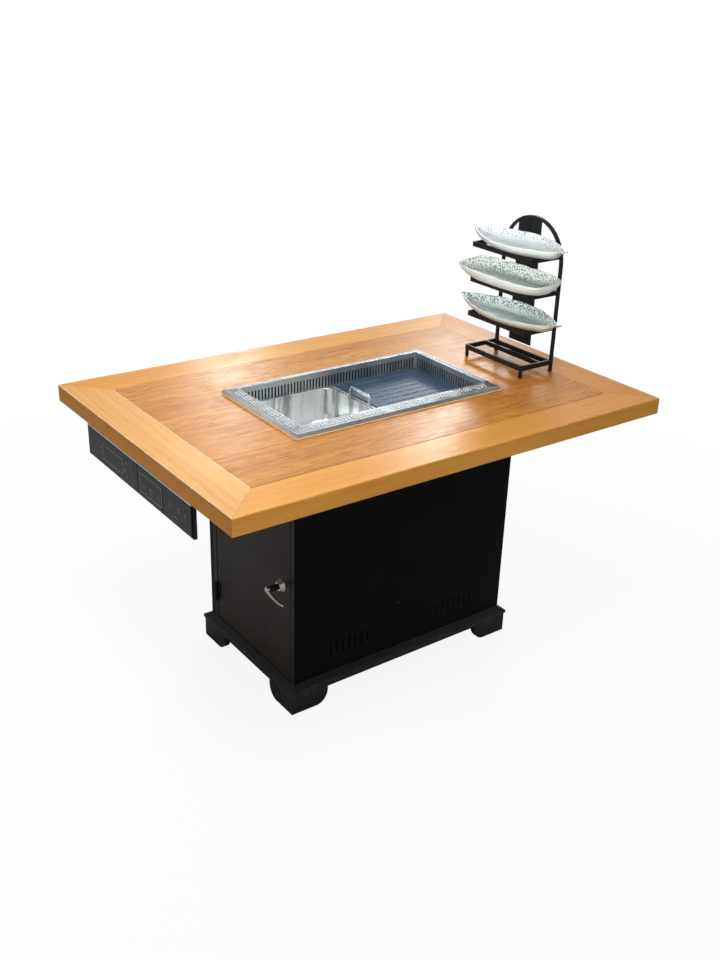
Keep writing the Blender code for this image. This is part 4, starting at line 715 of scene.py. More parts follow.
def smooth(made, angle=40.0):
    """Shade a piece smooth up to an angle between faces."""
    mesh = made.data
    mesh.polygons.foreach_set("use_smooth", [True] * len(mesh.polygons))
    mesh.set_sharp_from_angle(angle=radians(angle))
    return made


def settle(made, body, materials, replaced=()):
    """Give a piece its finish and its body, and hide the nodes that it stands for."""
    if materials:
        if len(made.data.materials):
            made.data.materials.clear()
        for material in materials:
            made.data.materials.append(material)
    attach(made, body)
    if replaced:
        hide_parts(*replaced)
    return made


MERGE_DISTANCE = 0.00002
FLAT_ANGLE = radians(1.0)
SHARP_ANGLE = radians(28.0)
SQUARE_LIMIT = 0.95
LEFT_LIMIT = -0.9


def ease(node, width, material, segments=2, slopes=False):
    """Stand in for a solid with the same shape, its sharp edges eased and marked for wear, which on the left
    border board's chamfers is a painted highlight.
    """
    shape = bmesh.new()
    shape.from_mesh(NODES[node].data)
    bmesh.ops.remove_doubles(shape, verts=shape.verts, dist=MERGE_DISTANCE)
    bmesh.ops.dissolve_limit(shape, angle_limit=FLAT_ANGLE, verts=shape.verts, edges=shape.edges)
    mesh = bpy.data.meshes.new(node + "_eased")
    shape.to_mesh(mesh)
    shape.free()
    mesh.materials.clear()
    mesh.materials.append(material)
    mesh.materials.append(material)
    mesh.polygons.foreach_set("material_index", [0] * len(mesh.polygons))
    mesh.polygons.foreach_set("use_smooth", [True] * len(mesh.polygons))
    piece = new_object(node + "_eased", mesh)
    edges = piece.modifiers.new("eased_edges", "BEVEL")
    edges.width = width
    edges.segments = segments
    edges.limit_method = "ANGLE"
    edges.angle_limit = SHARP_ANGLE
    edges.material = 1
    piece.modifiers.new("even_normals", "WEIGHTED_NORMAL")
    bake(piece)
    marks = piece.data.attributes.new("edge", "FLOAT", "FACE")
    wear_and_highlight_mask = []
    for face in piece.data.polygons:
        sloping = slopes and max(abs(part) for part in face.normal) < SQUARE_LIMIT
        wear_and_highlight_mask.append(1.0 if sloping else float(face.material_index))
    marks.data.foreach_set("value", wear_and_highlight_mask)
    piece.data.polygons.foreach_set("material_index", [0] * len(piece.data.polygons))
    return settle(piece, BODY_OF[node], [material], [node])


def paint_light_on_left_faces(made, material):
    """Give the faces of a piece that look to the left a second finish, which paints the light and shade of
    that side.
    """
    made.data.materials.append(material)
    for face in made.data.polygons:
        face.material_index = 1 if face.normal.x < LEFT_LIMIT else 0


def lay_finish(node, material):
    """Put a finish on a solid that keeps its own shape."""
    for slot in NODES[node].material_slots:
        slot.material = material


def add_box(shape, low, high):
    """Add a closed box to a mesh in the making."""
    size = Vector(high) - Vector(low)
    middle = (Vector(high) + Vector(low)) / 2
    place = Matrix.Translation(middle) @ Matrix.Diagonal((*size, 1.0))
    bmesh.ops.create_cube(shape, size=1.0, matrix=place)


def mesh_from(shape, name):
    """Close a mesh in the making."""
    mesh = bpy.data.meshes.new(name)
    shape.to_mesh(mesh)
    shape.free()
    return mesh


def loft(shape, loops):
    """Skin a row of closed loops of points with quads, and return the rows of vertices."""
    rows = [[shape.verts.new(point) for point in loop] for loop in loops]
    for first, second in zip(rows, rows[1:]):
        for index in range(len(first)):
            after = (index + 1) % len(first)
            shape.faces.new((first[index], first[after], second[after], second[index]))
    return rows


def close_ends(shape, rows):
    """Close both ends of a loft and turn the faces outwards."""
    shape.faces.new(rows[0][::-1])
    shape.faces.new(rows[-1])
    bmesh.ops.recalc_face_normals(shape, faces=shape.faces)


def lofted(name, loops):
    """Return the mesh of a closed piece that is skinned over a row of loops."""
    shape = bmesh.new()
    close_ends(shape, loft(shape, loops))
    return mesh_from(shape, name)


def strip(name, profile, x, z, ends):
    """Make a straight strip of one profile along Y."""
    return new_object(name, lofted(name, [[Vector((x + a, y, z + b)) for a, b in profile] for y in ends]))


def arc(end, steps):
    """Return the angles of an arc from 0 to its end."""
    return [end * step / steps for step in range(steps + 1)]


def round_loop(reach, level, sides):
    """Return a loop of points round the Z axis."""
    angles = [2 * pi * k / sides for k in range(sides)]
    return [Vector((reach * cos(angle), reach * sin(angle), level)) for angle in angles]


def turned(name, profile, sides):
    """Return the mesh of a piece turned about the Z axis, from pairs of radius and level."""
    return lofted(name, [round_loop(reach, level, sides) for reach, level in profile])


def round_tube(shape, path, radii, sides=16):
    """Skin a closed tube along a path with a radius at each point."""
    loops = []
    for index, point in enumerate(path):
        ahead = path[min(index + 1, len(path) - 1)] - path[max(index - 1, 0)]
        turn = ahead.to_track_quat("Z", "Y")
        loops.append([point + turn @ spoke * radii[index] for spoke in round_loop(1.0, 0.0, sides)])
    close_ends(shape, loft(shape, loops))


def spread_tree():
    """Node tree that puts one small piece on each point of a mesh, turned by the points' own facing."""
    tree = bpy.data.node_groups.new("spread_pieces", "GeometryNodeTree")
    face = tree.interface
    face.new_socket("Points", in_out="INPUT", socket_type="NodeSocketGeometry")
    sockets = {
        "piece": face.new_socket("Piece", in_out="INPUT", socket_type="NodeSocketObject").identifier,
        "size": face.new_socket("Size", in_out="INPUT", socket_type="NodeSocketFloat").identifier,
        "finish": face.new_socket("Finish", in_out="INPUT", socket_type="NodeSocketMaterial").identifier,
    }
    face.new_socket("Pieces", in_out="OUTPUT", socket_type="NodeSocketGeometry")
    wires = Wiring(tree)
    given = wires.node("NodeGroupInput").outputs
    piece = wires.node("GeometryNodeObjectInfo", transform_space="ORIGINAL")
    wires.fill(piece, Object=given["Piece"])
    facing = wires.node("GeometryNodeInputNamedAttribute", data_type="FLOAT_VECTOR")
    facing.inputs["Name"].default_value = "facing"
    turn = wires.stack(wires.node("FunctionNodeEulerToRotation"), facing.outputs["Attribute"])
    placed = wires.fill(
        wires.node("GeometryNodeInstanceOnPoints"),
        Points=given["Points"],
        Instance=piece.outputs["Geometry"],
        Rotation=turn[0],
        Scale=given["Size"],
    )
    real = wires.fill(wires.node("GeometryNodeRealizeInstances"), Geometry=placed["Instances"])
    finish = wires.node("GeometryNodeSetMaterial")
    wires.fill(finish, Geometry=real["Geometry"], Material=given["Finish"])
    wires.fill(wires.node("NodeGroupOutput"), Pieces=finish.outputs["Geometry"])
    return tree, sockets


SPREAD, SPREAD_SOCKETS = spread_tree()


def spread(name, template_mesh, spots, size, material, body, slot):
    """Put copies of a small piece on spots, each a place and an Euler turn, as one plain mesh."""
    template = new_object(name + "_template", template_mesh)
    points = bpy.data.meshes.new(name)
    points.from_pydata([tuple(place) for place, _ in spots], [], [])
    facing = points.attributes.new("facing", "FLOAT_VECTOR", "POINT")
    facing.data.foreach_set("vector", [part for _, turn in spots for part in turn])
    made = new_object(name, points)
    nodes = made.modifiers.new("spread", "NODES")
    nodes.node_group = SPREAD
    nodes[SPREAD_SOCKETS["piece"]] = template
    nodes[SPREAD_SOCKETS["size"]] = size
    nodes[SPREAD_SOCKETS["finish"]] = material
    bake(made)
    bpy.data.objects.remove(template)
    return settle(smooth(made), body, [material])


PANEL_EASE = 0.0010
DOOR_EASE = 0.0012
PLINTH_EASE = 0.0012
FOOT_EASE = 0.0015
SCREW_CAP_X = -0.0205
SCREW_CAP_Z = 0.2151
SCREW_CAP_RADIUS = 0.0045
SCREW_CAP_PROFILE = ((1.0, -0.1), (1.0, 0.06), (0.9, 0.15), (0.6, 0.20), (0.2, 0.22))


def finish_cabinet():
    """Lacquered panels, door, plinth and feet with eased edges, and the plain boards inside."""
    # The front panel's end that looks left takes the left-end lacquer: painted light on that side.
    paint_light_on_left_faces(ease("front_panel", PANEL_EASE, LACQUER), LEFT_END_LACQUER_PAINTED_LIGHT)
    ease("rear_panel", PANEL_EASE, LACQUER)
    ease("right_end_panel", PANEL_EASE, LACQUER)
    ease("door_frame", PANEL_EASE, LEFT_END_LACQUER_PAINTED_LIGHT)
    ease("door_panel", DOOR_EASE, LEFT_END_LACQUER_PAINTED_LIGHT)
    for side in ("front", "rear", "left", "right"):
        ease(side + "_plinth_rail", PLINTH_EASE, PLINTH_PAINT)
    for corner in ("front_left", "front_right", "rear_left", "rear_right"):
        ease(corner + "_foot", FOOT_EASE, PLINTH_PAINT)
    for node in ("cabinet_floor", "top_support_frame"):
        lay_finish(node, BOARD)
    cap = turned("screw_cap", SCREW_CAP_PROFILE, 20)
    spot = (Vector((SCREW_CAP_X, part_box("front_panel")[0].y, SCREW_CAP_Z)), Euler((pi / 2, 0, 0)))
    spread("front_screw_cap", cap, [spot], SCREW_CAP_RADIUS, PLASTIC, "table", "black_plastic")


BOARD_EASE = 0.0007
# Cross-section of the cream strip that paints a highlight in the left seam's groove
SEAM_HIGHLIGHT_PROFILE = (
    (-0.0010, -0.0012),
    (-0.0012, -0.0004),
    (0.0, -0.0001),
    (0.0012, -0.0004),
    (0.0010, -0.0012),
)
SEAM_HIGHLIGHT_OUT = 0.00015
SEAM_HIGHLIGHT_END = 0.0015


def finish_top():
    """Wooden field, the four mitred boards round it and a cream strip in the seam beside the left one, which
    is a painted highlight.
    """
    lay_finish("top_field_panel", FIELD_WOOD)
    for side, wood in (
        ("front", LONG_BORDER_WOOD),
        ("rear", LONG_BORDER_WOOD),
        ("left", LEFT_BORDER_WOOD_PAINTED_LIGHT),
        ("right", SHORT_BORDER_WOOD),
    ):
        board = ease(side + "_border_board", BOARD_EASE, wood, slopes=True)
        # Under the left board's painted-light top, its face that looks left takes the darker right-board wood
        # as painted shade.
        if side == "left":
            paint_light_on_left_faces(board, SHORT_BORDER_WOOD)
    low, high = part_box("top_field_panel")
    ends = (low.y + SEAM_HIGHLIGHT_END, high.y - SEAM_HIGHLIGHT_END)
    highlight_strip = strip("left_seam_filler", SEAM_HIGHLIGHT_PROFILE, low.x - SEAM_HIGHLIGHT_OUT, TABLE_TOP, ends)
    settle(highlight_strip, "table", [PAINTED_SEAM_HIGHLIGHT])


# Each rail: side, angle of its run, half its length, its outward direction and its reach from the middle
RIM_SIDES = (
    ("front", 0.0, RIM_HALF[0], Vector((0, -1, 0)), RIM_HALF[1]),
    ("right", pi / 2, RIM_HALF[1], Vector((1, 0, 0)), RIM_HALF[0]),
    ("rear", pi, RIM_HALF[0], Vector((0, 1, 0)), RIM_HALF[1]),
    ("left", -pi / 2, RIM_HALF[1], Vector((-1, 0, 0)), RIM_HALF[0]),
)
# Inset from the rail's outer edge and rise above the wood
RIM_PROFILE = (
    (0.0000, 0.0004),
    (0.0003, 0.0022),
    (0.0038, 0.0094),
    (0.0048, 0.0106),
    (0.0060, 0.0111),
    (0.0074, 0.0114),
    (0.0302, 0.0166),
    (0.0314, 0.0169),
    (0.0323, 0.0167),
    (0.0329, 0.0159),
    (0.0330, 0.0146),
    (0.0326, 0.0133),
    (0.0120, 0.0070),
    (0.0030, 0.0004),
)
# Faces of the crest and the lip that are marked for a painted highlight
RIM_PAINTED_HIGHLIGHT_FACES = (2, 3, 4, 6, 7)
RIM_SLOPE_FACES = (0, 1)
RIM_BAND_FACE = 5
RIM_MITRE_GAP = 0.0002
RIM_MITRE_SINK = 0.0004
RIM_MITRE_EASE = 0.0011
RIM_LEAST_RISE = 0.0002
RIM_SMOOTH_ANGLE = 24.0
SEAL_PROFILE = ((0.0010, 0.0001), (-0.0012, 0.0001), (-0.0009, 0.0007), (-0.0002, 0.0011), (0.0010, 0.0012))
FRET_PITCH = 0.040
FRET_HEIGHT = 0.0140
FRET_HALF_WIDTH = 0.012
FRET_LINE = 0.0022
FRET_BAR_INSET = 2.6
FRET_RELIEF = 0.0008
FRET_SINK = 0.0006
FRET_INSET = 0.0188
FRET_RISE = 0.0140
FRET_END_ROOM = 0.006
BAND_RISE = 0.0052
BAND_RUN = 0.0228
FRET_SLOPE = atan(BAND_RISE / BAND_RUN)


def rim_point(outward, reach, inset, along, angle, rise):
    """Return a point of a rim rail, inset from its outer edge and raised above the wood."""
    run = Vector((cos(angle), sin(angle), 0))
    return outward * (reach - inset) + run * along + Vector((0, 0, TABLE_TOP + rise))


def rim_rail(side, angle, half, outward, reach):
    """Pressed rim rail: sloping outside, crest, rising band, rounded inner edge and eased mitres, with a
    painted highlight marked on the crest, the lip and the mitres.
    """
    shape = bmesh.new()
    mark = shape.faces.layers.float.new("edge")
    loops = []
    for end, ease_in, sink in (
        (-1, 0.0, RIM_MITRE_SINK),
        (-1, RIM_MITRE_EASE, 0.0),
        (1, RIM_MITRE_EASE, 0.0),
        (1, 0.0, RIM_MITRE_SINK),
    ):
        loop = []
        for inset, rise in RIM_PROFILE:
            along = end * (half - inset - RIM_MITRE_GAP - ease_in)
            loop.append(rim_point(outward, reach, inset, along, angle, max(rise - sink, RIM_LEAST_RISE)))
        loops.append(loop)
    rows = loft(shape, loops)
    count = len(RIM_PROFILE)
    for index, face in enumerate(shape.faces):
        place = index % count
        # Crest, lip and mitre faces are marked for the edge mask, which paints a highlight on them.
        face[mark] = 1.0 if place in RIM_PAINTED_HIGHLIGHT_FACES or index // count != 1 else 0.0
        face.material_index = 1 if place == RIM_BAND_FACE else 2 if place in RIM_SLOPE_FACES else 0
    close_ends(shape, rows)
    node = side + "_cooker_rim"
    long_side = side in ("front", "rear")
    steels = [LONG_STEEL, LONG_BAND_SHADED_STEEL] if long_side else [SHORT_STEEL, SHORT_BAND_SHADED_STEEL]
    rail = new_object(node + "_pressed", mesh_from(shape, node + "_pressed"))
    settle(smooth(rail, RIM_SMOOTH_ANGLE), "table", steels + [SLOPE_STEEL], [node])


def rim_seal(side, angle, half, outward, reach):
    """Bead of sealant between a rim rail and the wood."""
    loops = []
    for end in (-1, 1):
        loop = []
        for inset, rise in SEAL_PROFILE:
            loop.append(rim_point(outward, reach, inset, end * (half - inset), angle, rise))
        loops.append(loop)
    name = side + "_rim_seal"
    settle(smooth(new_object(name, lofted(name, loops))), "table", [SEAL])


def fret_mark():
    """One pressed key of the rim's border: a closed bracket with an inner bar, and a tick beside it."""
    shape = bmesh.new()
    half = FRET_HEIGHT / 2
    wide = FRET_HALF_WIDTH
    line = FRET_LINE
    bar_end = wide - FRET_BAR_INSET * line
    tick = FRET_PITCH / 2
    for first, second in (
        ((-wide, -half), (wide, -half + line)),
        ((-wide, half - line), (wide, half)),
        ((-wide, -half + line), (-wide + line, half - line)),
        ((wide - line, -half + line), (wide, half - line)),
        ((-bar_end, -line / 2), (bar_end, line / 2)),
        ((tick - line / 2, -half), (tick + line / 2, half)),
        ((wide + line, half - line), (tick - line / 2, half)),
    ):
        add_box(shape, (*first, -FRET_SINK), (*second, FRET_RELIEF))
    return mesh_from(shape, "fret_mark")


GRIDDLE_EASE = 0.0006
GRIDDLE_CREST = 0.0004


def finish_cooker():
    """Steel rim with its pressed border, slotted walls, deck, griddle and what heats it."""
    spots = []
    for rail in RIM_SIDES:
        side, angle, half, outward, reach = rail
        rim_rail(*rail)
        rim_seal(*rail)
        lay_finish(side + "_air_wall", WALL_STEEL)
        count = int(2 * (half - RIM_RAIL - FRET_END_ROOM) / FRET_PITCH)
        for index in range(count):
            along = (index - (count - 1) / 2) * FRET_PITCH
            place = rim_point(outward, reach, FRET_INSET, along, angle, FRET_RISE)
            spots.append((place, Euler((FRET_SLOPE, 0, angle))))
    spread("rim_fret", fret_mark(), spots, 1.0, FRET_STEEL_PAINTED_HIGHLIGHT, "table", "brushed_steel")
    lay_finish("cooker_deck", SOOT_AND_SHADE_STEEL)
    plate = ease("griddle", GRIDDLE_EASE, GRIDDLE)
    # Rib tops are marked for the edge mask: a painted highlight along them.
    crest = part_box("griddle")[1].z - GRIDDLE_CREST
    marks = plate.data.attributes["edge"]
    for face in plate.data.polygons:
        if face.center.z > crest:
            marks.data[face.index].value = 1.0
    lay_finish("griddle_heating_tube", HEATER_STEEL)


def rounded_loop(half_x, half_y, radius, level, centre, steps=10):
    """Return a loop of points round a rectangle with round corners."""
    points = []
    corners = ((1, 1, 0), (-1, 1, pi / 2), (-1, -1, pi), (1, -1, 3 * pi / 2))
    for side_x, side_y, start in corners:
        for turn in arc(pi / 2, steps):
            angle = start + turn
            x = side_x * (half_x - radius) + radius * cos(angle)
            y = side_y * (half_y - radius) + radius * sin(angle)
            points.append(Vector((centre.x + x, centre.y + y, level)))
    return points


SEAT_GAP = 0.0003
POT_SHEET = 0.0015
POT_SIDE_FLANGE = 0.020
POT_END_FLANGE = 0.009
POT_CORNER = 0.030
POT_CORNER_TAPER = 0.8
POT_FLANGE_RISE = 0.028
POT_FLANGE_BEND = 0.002
POT_FLANGE_CORNER = 0.004
POT_FLOOR_SHARES = (0.25, 0.6)
POT_FLOOR_DOME = 0.0006
POT_BASE_RADIUS = 0.016
POT_LIP_RADIUS = 0.0020
POT_LIP_RISE = 0.0009
POT_HANDLE_HALF = 0.044
POT_HANDLE_RADIUS = 0.0040
POT_HANDLE_RISE = 0.033
POT_HANDLE_BEND = 0.009
POT_HANDLE_FOOT = 0.006
POT_HANDLE_LIP_DISTANCE = 0.006
POT_SMOOTH_ANGLE = 50.0
POT_HANDLE_SMOOTH_ANGLE = 60.0
WELD_COLLAR_PROFILE = ((0.9, 1.0), (1.15, 0.75), (1.4, 0.35), (1.6, 0.0), (1.6, -0.15))


def finish_pot():
    """Pressed pot with a soft lip, a turned-down flange and two welded bar handles."""
    low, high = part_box("hot_pot")
    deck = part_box("cooker_deck")[1].z
    flange = deck + SEAT_GAP + POT_FLANGE_RISE
    centre = (low + high) / 2
    outer = Vector((high.x - low.x, high.y - low.y, 0)) / 2
    basin = Vector((outer.x - POT_SIDE_FLANGE, outer.y - POT_END_FLANGE, 0))
    floor = low.z + POT_SHEET
    loops = []
    for share in POT_FLOOR_SHARES:
        level = floor + POT_FLOOR_DOME * (1 - share)
        loops.append(rounded_loop(basin.x * share, basin.y * share, POT_CORNER * share, level, centre))
    for angle in arc(pi / 2, 6):
        inset = POT_BASE_RADIUS * (1 - sin(angle))
        corner = POT_CORNER - inset * POT_CORNER_TAPER
        level = floor + POT_BASE_RADIUS * (1 - cos(angle))
        loops.append(rounded_loop(basin.x - inset, basin.y - inset, corner, level, centre))
    for angle in arc(pi - asin(1 - POT_LIP_RISE / POT_LIP_RADIUS), 7):
        reach = POT_LIP_RADIUS * (1 - cos(angle))
        level = flange + POT_LIP_RISE - POT_LIP_RADIUS * (1 - sin(angle))
        loops.append(rounded_loop(basin.x + reach, basin.y + reach, POT_CORNER + reach, level, centre))
    for angle in arc(pi / 2, 4):
        reach = POT_FLANGE_BEND * (1 - sin(angle))
        level = flange - POT_FLANGE_BEND * (1 - cos(angle))
        loops.append(rounded_loop(outer.x - reach, outer.y - reach, POT_FLANGE_CORNER, level, centre))
    loops.append(rounded_loop(outer.x, outer.y, POT_FLANGE_CORNER, deck + SEAT_GAP, centre))
    shape = bmesh.new()
    rows = loft(shape, loops)
    shape.faces.new(rows[0][::-1])
    bmesh.ops.recalc_face_normals(shape, faces=shape.faces)
    if min(shape.faces, key=lambda face: face.calc_center_median().z).normal.z < 0:
        bmesh.ops.reverse_faces(shape, faces=shape.faces)
    pot = new_object("pressed_hot_pot", mesh_from(shape, "pressed_hot_pot"))
    wall = pot.modifiers.new("wall", "SOLIDIFY")
    wall.thickness = POT_SHEET
    wall.offset = -1.0
    bake(pot)
    settle(smooth(pot, POT_SMOOTH_ANGLE), "hot_pot", [POT_STEEL], ["hot_pot"])

    bars = bmesh.new()
    beads = []
    top = flange + POT_HANDLE_RISE - POT_HANDLE_RADIUS
    feet = (flange - POT_SHEET / 2, flange + POT_HANDLE_FOOT)
    for side in (-1, 1):
        x = centre.x + side * (basin.x + POT_HANDLE_LIP_DISTANCE)
        path = [Vector((x, -POT_HANDLE_HALF, level)) for level in feet]
        for end, start in ((-1, pi), (1, pi / 2)):
            for turn in arc(pi / 2, 8):
                angle = start - turn
                y = end * (POT_HANDLE_HALF - POT_HANDLE_BEND) + POT_HANDLE_BEND * cos(angle)
                path.append(Vector((x, y, top - POT_HANDLE_BEND * (1 - sin(angle)))))
        path += [Vector((x, POT_HANDLE_HALF, level)) for level in reversed(feet)]
        round_tube(bars, path, [POT_HANDLE_RADIUS] * len(path), 14)
        for end in (-1, 1):
            beads.append((Vector((x, end * POT_HANDLE_HALF, flange)), Euler((0, 0, 0))))
    handles = new_object("pot_bar_handles", mesh_from(bars, "pot_bar_handles"))
    settle(smooth(handles, POT_HANDLE_SMOOTH_ANGLE), "hot_pot", [POT_STEEL])
    collar = turned("weld_collar", WELD_COLLAR_PROFILE, 16)
    spread("pot_weld_collars", collar, beads, POT_HANDLE_RADIUS, POT_STEEL, "hot_pot", "polished_steel")


SCREW_SIDES = 16
SCREW_PROFILE = ((1.0, -0.15), (1.0, 0.06), (0.86, 0.20), (0.60, 0.27))
SCREW_TOP = 0.27
SCREW_RECESS = 0.02
SCREW_CROSS = (0.46, 0.34, 0.16, 0.34)


def screw_head():
    """Countersunk screw head of unit radius with a cross recess; its axis is +Z."""
    loops = [round_loop(reach, level, SCREW_SIDES) for reach, level in SCREW_PROFILE]
    spokes = round_loop(1.0, 0.0, SCREW_SIDES)
    for shrink, level in ((1.0, SCREW_TOP), (0.8, SCREW_RECESS)):
        cross = [spoke * SCREW_CROSS[k % 4] * shrink for k, spoke in enumerate(spokes)]
        loops.append([Vector((point.x, point.y, level)) for point in cross])
    return lofted("screw_head", loops)


DISH_WALL = 0.0034
DISH_RINGS = 26
DISH_TURNS = 120
DISH_BACK_RISE = 0.012
DISH_WAVE = 0.0014
DISH_WAVE_SHARE = 0.6
DISH_SIDE_ROOM = 0.0008
DISH_END_ROOM = 0.0005
TAIL_HALF = 0.08
TAIL_FLARE = 0.07
TAIL_FLARE_SPAN = (0.92, 1.0)
TAIL_LIFT = 0.92
TAIL_LIFT_SPAN = (0.78, 0.95)
DISH_SMOOTH_ANGLE = 80.0


def soft_step(low, high, value):
    """Return a smooth step from 0 to 1 between two values."""
    share = min(1.0, max(0.0, (value - low) / (high - low)))
    return share * share * (3 - 2 * share)


def finish_dish(node, roundness, flat_share, tail, waves, glazes):
    """Thrown dish with a wavy rim: boat with a flat tail at one end, or long tray, glazed inside and out."""
    low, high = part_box(node)
    centre = (low + high) / 2
    length = high.y - low.y
    width = high.x - low.x
    depth = high.z - low.z - DISH_BACK_RISE / 2 - DISH_END_ROOM
    shape = bmesh.new()
    mark = shape.verts.layers.float.new("reach")
    rows = []
    for ring in range(1, DISH_RINGS + 1):
        share = ring / DISH_RINGS
        sphere = sin(pi / 2 * share)
        drop = cos(pi / 2 * share)
        row = []
        for turn in range(DISH_TURNS):
            angle = 2 * pi * (turn + 0.5) / DISH_TURNS
            across, along = sphere * cos(angle), sphere * sin(angle)
            chord = sqrt(max(1e-9, 1.0 - along * along))
            half = chord ** (2 * roundness)
            half = max(half, tail * (TAIL_HALF + TAIL_FLARE * soft_step(*TAIL_FLARE_SPAN, -along)))
            pinch = 1.0 - TAIL_LIFT * tail * soft_step(*TAIL_LIFT_SPAN, -along)
            side = max(-1.0, min(1.0, across / chord)) * half
            sunk = min(1.0, drop / flat_share) * pinch
            ripple = sin(waves * angle + 0.7) + 0.5 * sin((2 * waves + 3) * angle + 2.0)
            wave = DISH_WAVE * share**6 * ripple * DISH_WAVE_SHARE * (1.0 - along * along)
            x = centre.x + side * (width / 2 - DISH_SIDE_ROOM)
            y = centre.y + along * (length / 2 - DISH_END_ROOM)
            z = -sunk * depth + (1.0 - sunk) * DISH_BACK_RISE / 2 * side + wave
            vertex = shape.verts.new((x, y, low.z + depth + z))
            vertex[mark] = share
            row.append(vertex)
        rows.append(row)
    for first, second in zip(rows, rows[1:]):
        for index in range(DISH_TURNS):
            after = (index + 1) % DISH_TURNS
            shape.faces.new((first[index], second[index], second[after], first[after]))
    middle = shape.verts.new((centre.x, centre.y, low.z))
    middle[mark] = 0.0
    for index in range(DISH_TURNS):
        shape.faces.new((middle, rows[0][index], rows[0][(index + 1) % DISH_TURNS]))
    bmesh.ops.recalc_face_normals(shape, faces=shape.faces)
    if min(shape.faces, key=lambda face: face.calc_center_median().z).normal.z > 0:
        bmesh.ops.reverse_faces(shape, faces=shape.faces)
    dish = new_object(node + "_glazed", mesh_from(shape, node + "_glazed"))
    for glaze in glazes:
        dish.data.materials.append(glaze)
    wall = dish.modifiers.new("wall", "SOLIDIFY")
    wall.thickness = DISH_WALL
    wall.offset = -1.0
    wall.use_rim = True
    wall.material_offset = 1
    wall.material_offset_rim = 2
    soft = dish.modifiers.new("soft", "SUBSURF")
    soft.levels = 1
    soft.render_levels = 1
    bake(dish)
    settle(smooth(dish, DISH_SMOOTH_ANGLE), BODY_OF[node], [], [node])


RACK_TIERS = ("rack_base", "low_rack_tier", "middle_rack_tier", "top_rack_tier")
RACK_EASE = 0.0006
WELD_INSET = 0.0035
WELD_SINK = 0.0002
# Place along a weld, its rise and its radius
WELD_POINTS = (
    (-0.0042, 0, 0.0006),
    (-0.003, 0, 0.0013),
    (0, 0.0002, 0.0015),
    (0.003, 0, 0.0013),
    (0.0042, 0, 0.0006),
)
SEAM_WIDTH = 0.0012
SEAM_MIDDLE = -0.011
SEAM_FOOT = 0.0515
SEAM_HEAD = 0.012
SLAT_HALF = 0.0015
SEAM_OUT = 0.0003
SEAM_IN = 0.0005


def finish_rack():
    """Powder-coated rack with eased bars, weld beads at its joints and the folded seam of its slat."""
    for node in (*RACK_TIERS, "rack_back_frame"):
        ease(node, RACK_EASE, IRON)
    back_low, back_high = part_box("rack_back_frame")
    spots = []
    for tier in RACK_TIERS:
        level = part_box(tier)[1].z - WELD_SINK
        for y in (back_low.y + WELD_INSET, back_high.y - WELD_INSET):
            spots.append((Vector((back_low.x, y, level)), Euler((0, 0, 0))))
    spread("rack_welds", weld_bead(), spots, 1.0, IRON, "dish_rack", "black_iron")
    # The seam is a near-black strip: painted shade in the fold.
    shape = bmesh.new()
    face = (back_low.x + back_high.x) / 2 - SLAT_HALF
    low = (face - SEAM_OUT, SEAM_MIDDLE - SEAM_WIDTH / 2, back_low.z + SEAM_FOOT)
    high = (face + SEAM_IN, SEAM_MIDDLE + SEAM_WIDTH / 2, back_high.z - SEAM_HEAD)
    add_box(shape, low, high)
    settle(new_object("slat_seam", mesh_from(shape, "slat_seam")), "dish_rack", [SEAM_SHADE])


def weld_bead():
    """Short rounded weld along Y."""
    shape = bmesh.new()
    path = [Vector((0, y, z)) for y, z, _ in WELD_POINTS]
    round_tube(shape, path, [radius for _, _, radius in WELD_POINTS], 10)
    return mesh_from(shape, "weld_bead")


GLASS_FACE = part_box("far_touch_glass")[0].x
PRINT_SINK = 0.0001
PRINT_RELIEF = 0.00012
RING_SIDES = 28


def print_loop(shape, outer, inner=None):
    """Add a thin raised print on the glass: a filled outline, or a band between two outlines."""
    levels = (GLASS_FACE + PRINT_SINK, GLASS_FACE - PRINT_RELIEF)
    loops = [[Vector((level, y, z)) for y, z in outer] for level in levels]
    if inner:
        loops += [[Vector((level, y, z)) for y, z in inner] for level in reversed(levels)]
        rows = loft(shape, loops)
        for index in range(len(outer)):
            after = (index + 1) % len(outer)
            shape.faces.new((rows[-1][index], rows[-1][after], rows[0][after], rows[0][index]))
    else:
        close_ends(shape, loft(shape, loops))


def disc_points(y, z, radius, sides):
    """Return the points of a disc on the glass."""
    angles = [2 * pi * k / sides for k in range(sides)]
    return [(y + radius * sin(angle), z + radius * cos(angle)) for angle in angles]


def dot(shape, y, z, radius, sides):
    """Print a filled dot, or a triangle with three sides."""
    print_loop(shape, disc_points(y, z, radius, sides))


def ring(shape, y, z, radius, line):
    """Print a ring."""
    print_loop(shape, disc_points(y, z, radius, RING_SIDES), disc_points(y, z, radius - line, RING_SIDES))


def bar(shape, y, z, wide, tall):
    """Print a bar."""
    corners = ((-1, -1), (1, -1), (1, 1), (-1, 1))
    print_loop(shape, [(y + a * wide / 2, z + b * tall / 2) for a, b in corners])


def outline(shape, y, z, wide, tall, radius, line):
    """Print the outline of a field with round corners."""
    middle = Vector((y, z, 0))
    outer = rounded_loop(wide / 2, tall / 2, radius, 0, middle, 5)
    inner = rounded_loop(wide / 2 - line, tall / 2 - line, radius - line * 0.6, 0, middle, 5)
    print_loop(shape, [point.xy for point in outer], [point.xy for point in inner])


